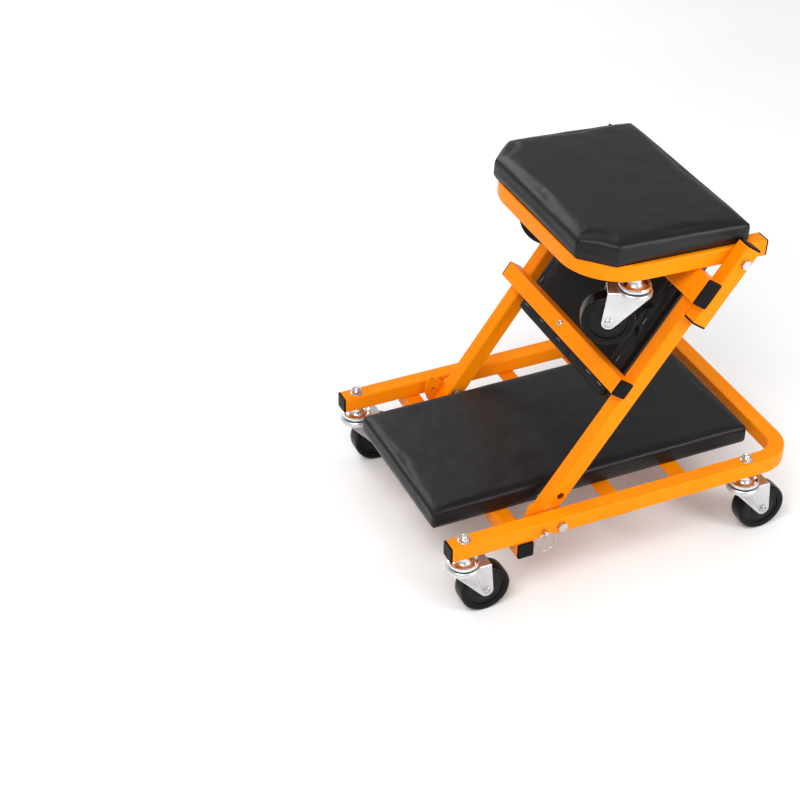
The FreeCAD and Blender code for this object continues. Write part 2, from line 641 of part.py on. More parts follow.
# ---- link: local X runs along the arms from the pivot, local Z is the upper-left side ----
def make_link():
    """Arms, crossbars, hinge sleeves, lock plates, caps and pad."""
    arm = moved(straight_tube(ARM_TAIL + ARM_END), -ARM_TAIL, ARM_CENTRE_Y, 0)
    across = Vector(0, -ARM_OUTER_Y - TUBE, 0)
    pivot_bore = rod(BOLT_RADIUS + RUNNING_GAP, 3 * TUBE, across, Y_AXIS)
    lock_start = Vector(LOCK_PIN_OFFSET + ARM_HOLE_SHIFT_S, -ARM_OUTER_Y - TUBE, ARM_HOLE_SHIFT_N)
    lock_hole = rod(ARM_HOLE_RADIUS, 1.4 * TUBE, lock_start, Y_AXIS)
    arm = placed(arm.cut(pivot_bore).cut(lock_hole), LINK_PLACE)
    export("arm_right", [arm])
    export("arm_left", [mirrored(arm)])

    caps = [
        lengthwise_cap(ARM_END, ARM_CENTRE_Y, 0),
        lengthwise_cap(-ARM_TAIL, ARM_CENTRE_Y, 180),
        lengthwise_cap(SLEEVE_END, SLEEVE_CENTRE_Y, 0),
        lengthwise_cap(SLEEVE_START, SLEEVE_CENTRE_Y, 180),
        sideways_cap(LOWER_BAR_S, TUBE, -ARM_OUTER_Y),
    ]
    link_caps = []
    for cap in caps:
        link_caps += both_sides(placed(cap, LINK_PLACE))
    export("link_tube_caps", link_caps)
    upper_cap = sideways_cap(UPPER_BAR_S, UPPER_BAR_WIDTH, -ARM_OUTER_Y - TUBE)
    export("upper_crossbar_caps", both_sides(placed(upper_cap, LINK_PLACE)))

    lower_half = ARM_OUTER_Y
    upper_half = ARM_OUTER_Y + TUBE
    bars = {
        "lower": (LOWER_BAR_S, LOWER_SCREW_S, TUBE, lower_half),
        "upper": (UPPER_BAR_S, UPPER_BAR_S, UPPER_BAR_WIDTH, upper_half),
    }
    screws = []
    for level, (s, screw_s, width, half) in bars.items():
        screw_start = Vector(screw_s, 0, BAR_N + TUBE / 2)
        screw = wood_screw(screw_start, Z_AXIS * -1, TUBE + SCREW_BITE)
        screws.append(placed(screw, LINK_PLACE))
        bar = moved(cross_tube(half, width), s, 0, BAR_N).cut(screw)
        export(level + "_crossbar", [placed(bar, LINK_PLACE)])
    export("link_pad_screws", screws)

    sleeve = moved(straight_tube(SLEEVE_END - SLEEVE_START), SLEEVE_START, SLEEVE_CENTRE_Y, 0)
    hinge_hole = rod(BOLT_RADIUS, 3 * TUBE, Vector(HINGE_S, -ARM_OUTER_Y - 2 * TUBE, 0), Y_AXIS)
    sleeve = placed(sleeve.cut(hinge_hole), LINK_PLACE)
    export("hinge_sleeve_right", [sleeve])
    export("hinge_sleeve_left", [mirrored(sleeve)])
    export("lock_plates", both_sides(placed(lock_plate(), LINK_PLACE)))
    make_link_pad(screws)


def lengthwise_cap(s, y, turn):
    """A cap on a tube that runs along the arms; turn 180 faces it towards the pivot."""
    return placed(end_cap(), Placement(Vector(s, y, 0), Rotation(Z_AXIS, turn)))


def sideways_cap(s, width, y):
    """A cap on the right-hand end of a crossbar."""
    return placed(end_cap(width), Placement(Vector(s, y, BAR_N), Rotation(Z_AXIS, -90)))


def lock_plate():
    """A sector of plate on the arm's outer face, bored for the pin in the seat position."""
    y = -ARM_OUTER_Y - LOCK_PLATE_THICKNESS
    sweep = LOCK_PLATE_TO - LOCK_PLATE_FROM
    disc = Part.makeCylinder(
        LOCK_PLATE_RADIUS, LOCK_PLATE_THICKNESS, Vector(0, 0, 0), Y_AXIS, sweep
    )
    disc.rotate(Vector(0, 0, 0), Y_AXIS, -90.0 - sector_start_turn(disc, sweep))
    disc = moved(disc, 0, y, 0)
    hub = rod(TUBE / 2, LOCK_PLATE_THICKNESS, Vector(0, y, 0), Y_AXIS)
    plate = disc.fuse(hub)
    seat_hole_angle = math.radians(180.0 - LINK_ANGLE)
    hole_at = Vector(
        LOCK_PIN_OFFSET * math.cos(seat_hole_angle), y - 1, LOCK_PIN_OFFSET * math.sin(seat_hole_angle)
    )
    lock_hole = rod(LOCK_PIN_RADIUS + 0.5, LOCK_PLATE_THICKNESS + 2, hole_at, Y_AXIS)
    pivot_bore = rod(BOLT_RADIUS + RUNNING_GAP, LOCK_PLATE_THICKNESS + 2, Vector(0, y - 1, 0), Y_AXIS)
    return plate.cut(lock_hole).cut(pivot_bore)


def sector_start_turn(disc, sweep):
    """Turn about Y that brings the sector's middle to the wanted angle, measured from +X to +Z."""
    middle = disc.CenterOfMass
    now = math.degrees(math.atan2(middle.z, middle.x))
    wanted = LOCK_PLATE_FROM + sweep / 2
    return wanted - now - 90.0


def make_link_pad(screws):
    """The link pad hangs between the arms: board against the bars, cushion on the far side."""
    flip = Placement(Vector(0, 0, TUBE / 2), Rotation(X_AXIS, 180))
    place = LINK_PLACE.multiply(flip)
    link_board = placed(board(LINK_PAD_START, LINK_PAD_END, PAD_HALF_WIDTH), place)
    staples = []
    for y in END_STAPLE_YS:
        staples.append(staple(LINK_PAD_START + STAPLE_EDGE_INSET, y, 90))
    for s in SIDE_STAPLE_SS:
        staples += both_sides(staple(s, -PAD_HALF_WIDTH + STAPLE_EDGE_INSET, 0))
    staples = [placed(piece, LINK_PLACE) for piece in staples]
    for fixing in screws + staples:
        link_board = link_board.cut(fixing)
    export("link_pad_board", [link_board])
    export("link_pad_staples", staples)
    link_cushion = placed(cushion(LINK_PAD_START, LINK_PAD_END, PAD_HALF_WIDTH), place)
    export("link_cushion", [link_cushion])


def staple(s, y, turn):
    """A staple that holds the cover's turned-in edge to the back of the link pad's board."""
    half = STAPLE_WIDTH / 2
    crown = block((-half, half), (-STAPLE_WIRE / 2, STAPLE_WIRE / 2), (0, STAPLE_WIRE))
    legs = []
    for x in (-half, half - STAPLE_WIRE):
        legs.append(block(
            (x, x + STAPLE_WIRE), (-STAPLE_WIRE / 2, STAPLE_WIRE / 2), (-STAPLE_LEG, 0)
        ))
    shape = crown.fuse(legs[0]).fuse(legs[1])
    return placed(shape, Placement(Vector(s, y, TUBE / 2), Rotation(Z_AXIS, turn)))


def make_seat_hinges():
    """Hinge bolts through the sleeves and seat rails, washers between them, and nuts."""
    start = Vector(HINGE_S, -ARM_OUTER_Y - TUBE, 0)
    reach = ARM_OUTER_Y + TUBE - SEAT_OUTER_Y + TUBE
    hinge_bolt = bolt(start, Y_AXIS, reach + NUT_HEIGHT + 2.5)
    export("hinge_bolts", both_sides(placed(hinge_bolt, LINK_PLACE)))
    washer_start = Vector(HINGE_S, -ARM_OUTER_Y + 0.05, 0)
    washer_thickness = ARM_OUTER_Y - SEAT_OUTER_Y - 0.3
    washer = rod(WASHER_RADIUS, washer_thickness, washer_start, Y_AXIS).cut(
        rod(BOLT_RADIUS, washer_thickness, washer_start, Y_AXIS)
    )
    export("hinge_washers", both_sides(placed(washer, LINK_PLACE)))
    nut_start = Vector(HINGE_S, -SEAT_OUTER_Y + TUBE + 0.3, 0)
    export("hinge_nuts", both_sides(placed(flange_nut(nut_start, Y_AXIS), LINK_PLACE)))


# ---- seat: local origin on the hinge axis, local X towards the rails' open ends ----
def make_seat():
    """The seat's U of tube, its slats, caps and pad."""
    frame = bent_tube(SEAT_TAIL, -SEAT_REACH, SEAT_CENTRE_Y, SEAT_BEND_RADIUS, 0)
    hinge_bore = rod(BOLT_RADIUS + RUNNING_GAP, 2 * TUBE, Vector(0, -SEAT_OUTER_Y - 5, 0), Y_AXIS)
    stem_start = Vector(-SEAT_STEM_A, SEAT_CENTRE_Y, -TUBE)
    stem_hole = rod(STEM_RADIUS + 0.2, TUBE, stem_start, Z_AXIS)
    for hole in (hinge_bore, stem_hole):
        frame = frame.cut(hole).cut(mirrored(hole))
    export("seat_frame", [placed(frame, SEAT_PLACE)])
    cap = moved(end_cap(), SEAT_TAIL, SEAT_CENTRE_Y, 0)
    export("seat_frame_caps", both_sides(placed(cap, SEAT_PLACE)))

    slats = []
    screws = []
    slat_bottom = TUBE / 2 - SLAT_THICKNESS
    slat_half = SEAT_OUTER_Y - TUBE
    for reach in SEAT_SLAT_AS:
        slats.append(block(
            (-reach - SLAT_WIDTH / 2, -reach + SLAT_WIDTH / 2),
            (-slat_half, slat_half),
            (slat_bottom, TUBE / 2),
        ))
        for y in (-90.0, 90.0):
            start = Vector(-reach, y, slat_bottom)
            screws.append(wood_screw(start, Z_AXIS, SLAT_THICKNESS + SCREW_BITE))
    for screw in screws:
        slats = [slat.cut(screw) for slat in slats]
    export("seat_pad_slats", [placed(slat, SEAT_PLACE) for slat in slats])
    export("seat_pad_screws", [placed(screw, SEAT_PLACE) for screw in screws])

    pad_limits = (-SEAT_REACH, SEAT_PAD_TAIL, SEAT_PAD_HALF_WIDTH, SEAT_PAD_CHAMFER)
    seat_board = moved(board(*pad_limits), 0, 0, TUBE / 2)
    for screw in screws:
        seat_board = seat_board.cut(screw)
    export("seat_pad_board", [placed(seat_board, SEAT_PLACE)])
    seat_cushion = moved(cushion(*pad_limits), 0, 0, TUBE / 2)
    export("seat_cushion", [placed(seat_cushion, SEAT_PLACE)])


os.makedirs("parts", exist_ok=True)
make_base()
make_base_pivots()
make_lock_pins()
make_link()
make_seat_hinges()
make_seat()
make_casters()

print("seat tilt, degrees:", round(seat_tilt_deg(), 3))
print("hinge point:", [round(value, 3) for value in HINGE_POINT])
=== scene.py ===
import json
import math

import bmesh
import bpy
from mathutils import Matrix, Vector, noise
from mathutils.bvhtree import BVHTree


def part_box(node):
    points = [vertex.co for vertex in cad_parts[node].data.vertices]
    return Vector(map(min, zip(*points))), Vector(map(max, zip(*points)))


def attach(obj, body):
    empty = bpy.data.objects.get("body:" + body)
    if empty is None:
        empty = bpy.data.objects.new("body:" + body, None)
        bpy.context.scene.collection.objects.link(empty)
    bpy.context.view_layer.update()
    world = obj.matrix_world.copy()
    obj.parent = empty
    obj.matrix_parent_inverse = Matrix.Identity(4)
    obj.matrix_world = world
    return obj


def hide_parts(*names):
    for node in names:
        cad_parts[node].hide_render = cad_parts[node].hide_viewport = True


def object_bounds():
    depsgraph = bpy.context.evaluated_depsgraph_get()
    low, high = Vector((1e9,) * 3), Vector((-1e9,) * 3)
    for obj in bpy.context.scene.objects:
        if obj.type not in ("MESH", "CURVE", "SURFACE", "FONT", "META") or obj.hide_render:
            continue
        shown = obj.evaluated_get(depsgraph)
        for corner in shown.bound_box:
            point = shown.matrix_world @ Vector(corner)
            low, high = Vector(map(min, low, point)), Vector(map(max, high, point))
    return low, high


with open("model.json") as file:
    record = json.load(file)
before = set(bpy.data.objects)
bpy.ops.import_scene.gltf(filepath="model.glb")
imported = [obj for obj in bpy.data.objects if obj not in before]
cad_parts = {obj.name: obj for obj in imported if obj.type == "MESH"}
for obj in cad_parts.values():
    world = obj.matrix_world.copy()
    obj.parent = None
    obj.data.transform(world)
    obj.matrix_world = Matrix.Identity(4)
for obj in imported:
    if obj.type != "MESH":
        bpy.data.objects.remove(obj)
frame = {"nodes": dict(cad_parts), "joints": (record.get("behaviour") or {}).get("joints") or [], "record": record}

CAD_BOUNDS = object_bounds()
MM = 0.001

# ---- places of the three frames, read from the joints ----
JOINTS = {joint["name"]: joint for joint in frame["joints"]}
PIVOT = Vector(JOINTS["link_pivot"]["pos_m"])
HINGE = Vector(JOINTS["seat_hinge"]["pos_m"])
LINK_ANGLE = math.atan2(HINGE.z - PIVOT.z, HINGE.x - PIVOT.x)
SEAT_UP = Vector(JOINTS["swivel_seat_right"]["axis"])
SEAT_TILT = math.atan2(SEAT_UP.x, SEAT_UP.z)
BASE_PLACE = Matrix.Identity(4)
LINK_PLACE = Matrix.Translation(PIVOT) @ Matrix.Rotation(-LINK_ANGLE, 4, "Y")
SEAT_PLACE = Matrix.Translation(HINGE) @ Matrix.Rotation(SEAT_TILT, 4, "Y")

# ---- camera and light ----
CAMERA_AT = Vector((-1.1359, -1.9314, 1.7682))
CAMERA_YAW = -0.42125
CAMERA_PITCH = -0.62422
CAMERA_ROLL = 0.00733
CAMERA_LENS = 82.784
WORLD_LIGHT = 0.55
FLOOR_HALF = 8.0
# name, place (m), width (m), power (W)
SOFT_BOXES = (
    ("key", (-1.6, -1.4, 2.6), 1.6, 60.0),
    ("side", (1.0, -1.7, 1.0), 0.9, 20.0),
    ("back", (-0.6, 3.4, 2.8), 2.4, 72.0),
)

# ---- tubes, screws and welds ----
SMOOTH_LIMIT_DEG = 38
HALF_TUBE = 12.5 * MM
SCREW_HEAD = 2.4 * MM
BEAD_RADIUS = 1.7 * MM
SLEEVE_BEAD_RADIUS = 1.3 * MM
SLAT_BEAD_RADIUS = 1.1 * MM
BEAD_STEP = 0.9 * MM
BEAD_RIPPLE = 0.16
BEAD_RIPPLE_STEP = 3.4 * MM

# ---- pads ----
COVER_BOTTOM = 0.3 * MM
BACK_LEVEL = COVER_BOTTOM - 0.25 * MM
BLOCK_BELOW_TOP = 1.2 * MM
POST_ROUND = 3 * MM
HELD_BELOW = 7 * MM
CORNER_PINCH = 1.5 * MM
PULL_LINES = 0.7 * MM
CORNER_REACH = 55 * MM
FRONT_ROLL = 38 * MM
SEAM_RADIUS = 0.7 * MM
SEAM_BOTTOM = 1.5 * MM
SEAM_PROUD = 0.1 * MM
SEAM_STEPS = 26
SEAM_UPRIGHT = 0.6
SEAM_LEAN_DEG = 62
SEAM_RIM = 9 * MM
SEAM_STRAIGHT_STOP = 7 * MM
CORD_END = 0.35
BACKING_INSET = 9 * MM
FLAP_INSET = 3.5 * MM
FLAP_INNER_INSET = 27 * MM
FLAP_STEP = 3 * MM
FLAP_ROWS = 10
FLAP_THICKNESS = 0.5 * MM
VOXEL = 4.0 * MM
CLOTH_PRESSURE = 2.0
CLOTH_FRAMES = 20
SLIDE_SHARE = 0.25
SLIDE_MOST = 0.4


# ---------------------------------------------------------------- small helpers
def new_object(name, mesh, material, place=BASE_PLACE):
    """An object whose mesh already stands in the row frame."""
    mesh.transform(place)
    if place.determinant() < 0:
        mesh.flip_normals()
    mesh.materials.clear()
    mesh.materials.append(material)
    piece = bpy.data.objects.new(name, mesh)
    bpy.context.scene.collection.objects.link(piece)
    return piece


def mesh_from(work):
    """Finish a bmesh: outward normals, smooth faces, sharp edges kept by angle."""
    bmesh.ops.recalc_face_normals(work, faces=work.faces)
    mesh = bpy.data.meshes.new("mesh")
    work.to_mesh(mesh)
    work.free()
    mesh.polygons.foreach_set("use_smooth", [True] * len(mesh.polygons))
    mesh.set_sharp_from_angle(angle=math.radians(SMOOTH_LIMIT_DEG))
    return mesh


def local_box(node, place):
    """A CAD node's lowest and highest corner, seen from a tilted frame."""
    turn_back = place.inverted()
    points = [turn_back @ vertex.co for vertex in frame["nodes"][node].data.vertices]
    low = Vector([min(point[axis] for point in points) for axis in range(3)])
    high = Vector([max(point[axis] for point in points) for axis in range(3)])
    return low, high


def lathe(profile, steps=72):
    """A closed profile of (radius, height) turned round Z."""
    work = bmesh.new()
    rings = []
    for step in range(steps):
        angle = 2 * math.pi * step / steps
        turned = [(r * math.cos(angle), r * math.sin(angle), z) for r, z in profile]
        rings.append([work.verts.new(point) for point in turned])
    count = len(profile)
    for step in range(steps):
        here = rings[step]
        there = rings[(step + 1) % steps]
        for index in range(count):
            after = (index + 1) % count
            if profile[index][0] == 0 and profile[after][0] == 0:
                continue
            work.faces.new((here[index], there[index], there[after], here[after]))
    bmesh.ops.remove_doubles(work, verts=work.verts, dist=1e-6)
    return work


def prism(points, low, high, axes="xyz"):
    """A flat outline pushed from low to high along the third of the named axes."""
    work = bmesh.new()
    order = ["xyz".index(letter) for letter in axes]
    rings = []
    for level in (low, high):
        ring = []
        for first, second in points:
            place = [0.0, 0.0, 0.0]
            place[order[0]] = first
            place[order[1]] = second
            place[order[2]] = level
            ring.append(work.verts.new(place))
        rings.append(ring)
    work.faces.new(rings[0])
    work.faces.new(rings[1][::-1])
    count = len(points)
    for index in range(count):
        after = (index + 1) % count
        work.faces.new((rings[0][index], rings[0][after], rings[1][after], rings[1][index]))
    bmesh.ops.recalc_face_normals(work, faces=work.faces)
    return work


def arc(centre, radius, start_deg, end_deg, steps=8):
    """Points along an arc, first and last included."""
    points = []
    for step in range(steps + 1):
        angle = math.radians(start_deg + (end_deg - start_deg) * step / steps)
        points.append((centre[0] + radius * math.cos(angle), centre[1] + radius * math.sin(angle)))
    return points


def scratch_object(work):
    """A temporary object for a boolean."""
    mesh = bpy.data.meshes.new("scratch")
    work.to_mesh(mesh)
    work.free()
    scratch = bpy.data.objects.new("scratch", mesh)
    bpy.context.scene.collection.objects.link(scratch)
    return scratch


def combine(base, others):
    """Apply boolean steps, a list of (operation, bmesh), to a bmesh and return a bmesh."""
    target = scratch_object(base)
    for operation, work in others:
        tool = scratch_object(work)
        step = target.modifiers.new("step", "BOOLEAN")
        step.operation = operation
        step.solver = "EXACT"
        step.object = tool
        settle_modifiers(target)
        bpy.data.objects.remove(tool)
    result = bmesh.new()
    result.from_mesh(target.data)
    bpy.data.objects.remove(target)
    return result


def settle_modifiers(piece):
    """Replace the piece's mesh by its evaluated one and drop its modifiers."""
    depsgraph = bpy.context.evaluated_depsgraph_get()
    mesh = bpy.data.meshes.new_from_object(piece.evaluated_get(depsgraph), depsgraph=depsgraph)
    piece.modifiers.clear()
    piece.data = mesh


def soften(work, width, segments=2, angle_deg=30):
    """Round every edge sharper than the angle."""
    limit = math.radians(angle_deg)
    sharp = [edge for edge in work.edges if len(edge.link_faces) == 2
             and edge.calc_face_angle(0) > limit]
    bmesh.ops.bevel(work, geom=sharp, offset=width, segments=segments, profile=0.5,
                    affect="EDGES", clamp_overlap=True)
    return work


def millimetres(points):
    """Points given in millimetres, in metres."""
    return [(first * MM, second * MM) for first, second in points]


def joined(parts):
    """Several bmeshes as one."""
    mesh = bpy.data.meshes.new("joined")
    whole = bmesh.new()
    for part in parts:
        bmesh.ops.recalc_face_normals(part, faces=part.faces)
        part.to_mesh(mesh)
        part.free()
        whole.from_mesh(mesh)
    return whole


def mirror_y(work):
    """The same bmesh on the other side of the XZ plane."""
    for vertex in work.verts:
        vertex.co.y = -vertex.co.y
    return work


def add_piece(name, work, material, place, body, slot, *replaced):
    """Turn a bmesh into a named piece that rides a body and stands for CAD nodes."""
    piece = new_object(name, mesh_from(work), material, place)
    if replaced:
        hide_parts(*replaced)
    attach(piece, body)
    return piece


# ---------------------------------------------------------------- materials
def new_material(name):
    """A material with its shader, node tree and a point lookup."""
    material = bpy.data.materials.new(name)
    material.use_nodes = True
    tree = material.node_tree
    shader = tree.nodes["Principled BSDF"]
    where = tree.nodes.new("ShaderNodeTexCoord")
    return material, tree, shader, where.outputs["Object"]


def noise_node(tree, where, scale, detail=3.0, roughness=0.5, stretch=None):
    """A noise texture read at object coordinates; stretch scales the three axes."""
    texture = tree.nodes.new("ShaderNodeTexNoise")
    texture.inputs["Scale"].default_value = scale
    texture.inputs["Detail"].default_value = detail
    texture.inputs["Roughness"].default_value = roughness
    if stretch:
        mapping = tree.nodes.new("ShaderNodeMapping")
        mapping.inputs["Scale"].default_value = stretch
        tree.links.new(where, mapping.inputs["Vector"])
        where = mapping.outputs["Vector"]
    tree.links.new(where, texture.inputs["Vector"])
    return texture.outputs["Fac"]


def cells_node(tree, where, scale):
    """A Voronoi texture's distance."""
    texture = tree.nodes.new("ShaderNodeTexVoronoi")
    texture.inputs["Scale"].default_value = scale
    tree.links.new(where, texture.inputs["Vector"])
    return texture.outputs["Distance"]


def ramp(tree, value, low, high, start=0.3, end=0.7):
    """Colours that follow a value."""
    node = tree.nodes.new("ShaderNodeValToRGB")
    node.color_ramp.elements[0].position = start
    node.color_ramp.elements[1].position = end
    node.color_ramp.elements[0].color = (*low, 1)
    node.color_ramp.elements[1].color = (*high, 1)
    tree.links.new(value, node.inputs["Fac"])
    return node.outputs["Color"]


def spread(tree, value, low, high, start=0.3, end=0.7):
    """A number that follows a value."""
    node = tree.nodes.new("ShaderNodeMapRange")
    node.inputs["From Min"].default_value = start
    node.inputs["From Max"].default_value = end
    node.inputs["To Min"].default_value = low
    node.inputs["To Max"].default_value = high
    tree.links.new(value, node.inputs["Value"])
    return node.outputs["Result"]


def mix(tree, factor, first, second):
    """Blend two colours by a factor."""
    node = tree.nodes.new("ShaderNodeMix")
    node.data_type = "RGBA"
    tree.links.new(factor, node.inputs["Factor"])
    tree.links.new(first, node.inputs["A"])
    tree.links.new(second, node.inputs["B"])
    return node.outputs["Result"]


def add_bump(tree, shader, heights):
    """Stack bumps of (height, strength, distance) on the shader's normal."""
    normal = None
    for height, strength, distance in heights:
        node = tree.nodes.new("ShaderNodeBump")
        node.inputs["Strength"].default_value = strength
        node.inputs["Distance"].default_value = distance
        tree.links.new(height, node.inputs["Height"])
        if normal:
            tree.links.new(normal, node.inputs["Normal"])
        normal = node.outputs["Normal"]
    tree.links.new(normal, shader.inputs["Normal"])


def ridge_highlight_mask(tree, strength):
    """A mask that rises to the strength on outside edges, from the mesh's pointiness; it places a painted
    highlight.
    """
    geometry = tree.nodes.new("ShaderNodeNewGeometry")
    return spread(tree, geometry.outputs["Pointiness"], 0.0, strength, start=0.53, end=0.62)


def orange_paint():
    """Gloss powder coat: orange-peel skin, faint drifts of hue, small paler and duller patches."""
    material, tree, shader, where = new_material("orange_powder_coat")
    drift = noise_node(tree, where, 7.0, 4.0)
    body = ramp(tree, drift, (0.88, 0.222, 0.0008), (0.95, 0.262, 0.002))
    rub = noise_node(tree, where, 55.0, 6.0, 0.65)
    pale = ramp(tree, rub, (0.92, 0.26, 0.01), (0.97, 0.34, 0.03))
    colour = mix(tree, spread(tree, rub, 0.0, 0.5, start=0.60, end=0.74), body, pale)
    tree.links.new(colour, shader.inputs["Base Color"])
    tree.links.new(spread(tree, rub, 0.30, 0.42), shader.inputs["Roughness"])
    shader.inputs["Specular IOR Level"].default_value = 0.06
    shader.inputs["Coat Weight"].default_value = 0.04
    shader.inputs["Coat Roughness"].default_value = 0.14
    peel = noise_node(tree, where, 620.0, 2.0, 0.45)
    waves = noise_node(tree, where, 140.0, 2.0, 0.4)
    add_bump(tree, shader, [(peel, 0.10, 0.0004), (waves, 0.05, 0.0012)])
    return material


def black_vinyl():
    """Upholstery vinyl: fine pebbled grain, soft gloss, and a painted highlight: a paler, mottled base colour on
    the ridges.
    """
    material, tree, shader, where = new_material("black_vinyl")
    drift = noise_node(tree, where, 11.0, 5.0, 0.6)
    body = ramp(tree, drift, (0.0024, 0.0024, 0.0026), (0.0056, 0.0056, 0.0060))
    # painted highlight: the base colour turns paler and mottled on the cover's ridges and outside edges, placed by
    # the pointiness mask
    highlight_mottle = noise_node(tree, where, 240.0, 4.0, 0.7)
    ridge_highlight_colour = ramp(tree, highlight_mottle, (0.008, 0.008, 0.0085), (0.018, 0.018, 0.019))
    colour = mix(tree, ridge_highlight_mask(tree, 0.5), body, ridge_highlight_colour)
    tree.links.new(colour, shader.inputs["Base Color"])
    tree.links.new(spread(tree, drift, 0.36, 0.46), shader.inputs["Roughness"])
    shader.inputs["Specular IOR Level"].default_value = 0.29
    pebble = cells_node(tree, where, 900.0)
    coarse = cells_node(tree, where, 420.0)
    pull = noise_node(tree, where, 32.0, 3.0, 0.55)
    add_bump(tree, shader, [
        (pull, 0.16, 0.003), (coarse, 0.14, 0.0005), (pebble, 0.26, 0.0003),
    ])
    return material


def black_cloth():
    """Non-woven black sheet on the pads' backs: matte, matted fibres."""
    material, tree, shader, where = new_material("black_backing")
    fibre = noise_node(tree, where, 420.0, 8.0, 0.75)
    long_fibre = noise_node(tree, where, 160.0, 6.0, 0.7, (1.0, 5.0, 1.0))
    body = ramp(tree, fibre, (0.0045, 0.0045, 0.005), (0.012, 0.012, 0.013))
    tree.links.new(body, shader.inputs["Base Color"])
    tree.links.new(spread(tree, long_fibre, 0.72, 0.92), shader.inputs["Roughness"])
    shader.inputs["Specular IOR Level"].default_value = 0.2
    shader.inputs["Sheen Weight"].default_value = 0.05
    add_bump(tree, shader, [(long_fibre, 0.25, 0.0006), (fibre, 0.3, 0.0004)])
    return material


def plywood():
    """Sheet wood with long grain and darker streaks."""
    material, tree, shader, where = new_material("plywood")
    grain = noise_node(tree, where, 18.0, 8.0, 0.65, (1.0, 9.0, 9.0))
    colour = ramp(tree, grain, (0.30, 0.18, 0.09), (0.52, 0.36, 0.21))
    tree.links.new(colour, shader.inputs["Base Color"])
    tree.links.new(spread(tree, grain, 0.6, 0.8), shader.inputs["Roughness"])
    add_bump(tree, shader, [(grain, 0.3, 0.0006)])
    return material


def zinc(name, dark, light, roughness):
    """Zinc-plated steel: bright, faintly mottled, with duller rubs."""
    material, tree, shader, where = new_material(name)
    mottle = noise_node(tree, where, 45.0, 4.0, 0.55)
    colour = ramp(tree, mottle, dark, light)
    tree.links.new(colour, shader.inputs["Base Color"])
    shader.inputs["Metallic"].default_value = 1.0
    tree.links.new(spread(tree, mottle, roughness, roughness + 0.08), shader.inputs["Roughness"])
    lines = noise_node(tree, where, 700.0, 3.0, 0.6)
    add_bump(tree, shader, [(lines, 0.04, 0.0002)])
    return material


def black_plastic(name, colour_low, colour_high, roughness, gloss, peel_scale, peel_strength):
    """Moulded black plastic: a fine skin and small, patchy, paler scuffs."""
    material, tree, shader, where = new_material(name)
    drift = noise_node(tree, where, 60.0, 5.0, 0.6)
    body = ramp(tree, drift, colour_low, colour_high)
    scuff = noise_node(tree, where, 500.0, 6.0, 0.7)
    worn = ramp(tree, scuff, colour_high, tuple(2.5 * channel for channel in colour_high))
    colour = mix(tree, spread(tree, scuff, 0.0, 0.7, start=0.58, end=0.72), body, worn)
    tree.links.new(colour, shader.inputs["Base Color"])
    tree.links.new(spread(tree, drift, roughness, roughness + 0.10), shader.inputs["Roughness"])
    shader.inputs["Specular IOR Level"].default_value = gloss
    skin = noise_node(tree, where, peel_scale, 3.0, 0.5)
    add_bump(tree, shader, [(skin, peel_strength, 0.0004)])
    return material


def floor_paper():
    """Pale studio paper with a barely visible mottle."""
    material, tree, shader, where = new_material("studio_paper")
    drift = noise_node(tree, where, 2.0, 3.0)
    colour = ramp(tree, drift, (0.90, 0.90, 0.90), (0.94, 0.94, 0.94))
    tree.links.new(colour, shader.inputs["Base Color"])
    tree.links.new(spread(tree, drift, 0.85, 0.95), shader.inputs["Roughness"])
    add_bump(tree, shader, [(noise_node(tree, where, 300.0, 2.0), 0.02, 0.0003)])
    return material


ORANGE = orange_paint()
VINYL = black_vinyl()
BACKING = black_cloth()
PLYWOOD = plywood()
BRIGHT_ZINC = zinc("bright_zinc", (0.70, 0.70, 0.71), (0.84, 0.84, 0.85), 0.17)
SATIN_ZINC = zinc("satin_zinc", (0.60, 0.60, 0.61), (0.72, 0.72, 0.73), 0.34)
BOLT_ZINC = zinc("bolt_zinc", (0.50, 0.50, 0.51), (0.70, 0.70, 0.71), 0.26)
WIRE = zinc("steel_wire", (0.34, 0.34, 0.35), (0.55, 0.55, 0.56), 0.24)
CAP_PLASTIC = black_plastic(
    "cap_plastic", (0.003, 0.003, 0.0033), (0.007, 0.007, 0.0075), 0.38, 0.08, 380.0, 0.12)
TREAD_PLASTIC = black_plastic(
    "tread_plastic", (0.0022, 0.0022, 0.0024), (0.0045, 0.0045, 0.0048), 0.22, 0.14, 150.0, 0.04)
HUB_PLASTIC = black_plastic(
    "hub_plastic", (0.003, 0.003, 0.0032), (0.006, 0.006, 0.0064), 0.30, 0.16, 300.0, 0.10)


# ---------------------------------------------------------------- pads
def outline_points(low, high, inset, chamfer):
    """A pad's plan, anticlockwise; the two corners at low x are cut off by the chamfer."""
    x0 = low.x + inset
    x1 = high.x - inset
    half = high.y - inset
    if chamfer == 0:
        return [(x0, -half), (x1, -half), (x1, half), (x0, half)]
    cut = chamfer - inset * 0.4
    return [
        (x0 + cut, -half), (x1, -half), (x1, half),
        (x0 + cut, half), (x0, half - cut), (x0, -half + cut),
    ]


def stuffed_block(outline, bottom, top, edge_round):
    """A prism with its top rim rounded, ready to be inflated."""
    work = prism(outline, bottom, top)
    rim = [edge for edge in work.edges if all(vertex.co.z > top - 1e-6 for vertex in edge.verts)]
    bmesh.ops.bevel(work, geom=rim, offset=edge_round, segments=6, profile=0.5, affect="EDGES")
    posts = [edge for edge in work.edges
             if abs(edge.verts[0].co.z - edge.verts[1].co.z) > (top - bottom) * 0.4]
    bmesh.ops.bevel(work, geom=posts, offset=POST_ROUND, segments=3, profile=0.5, affect="EDGES")
    return work


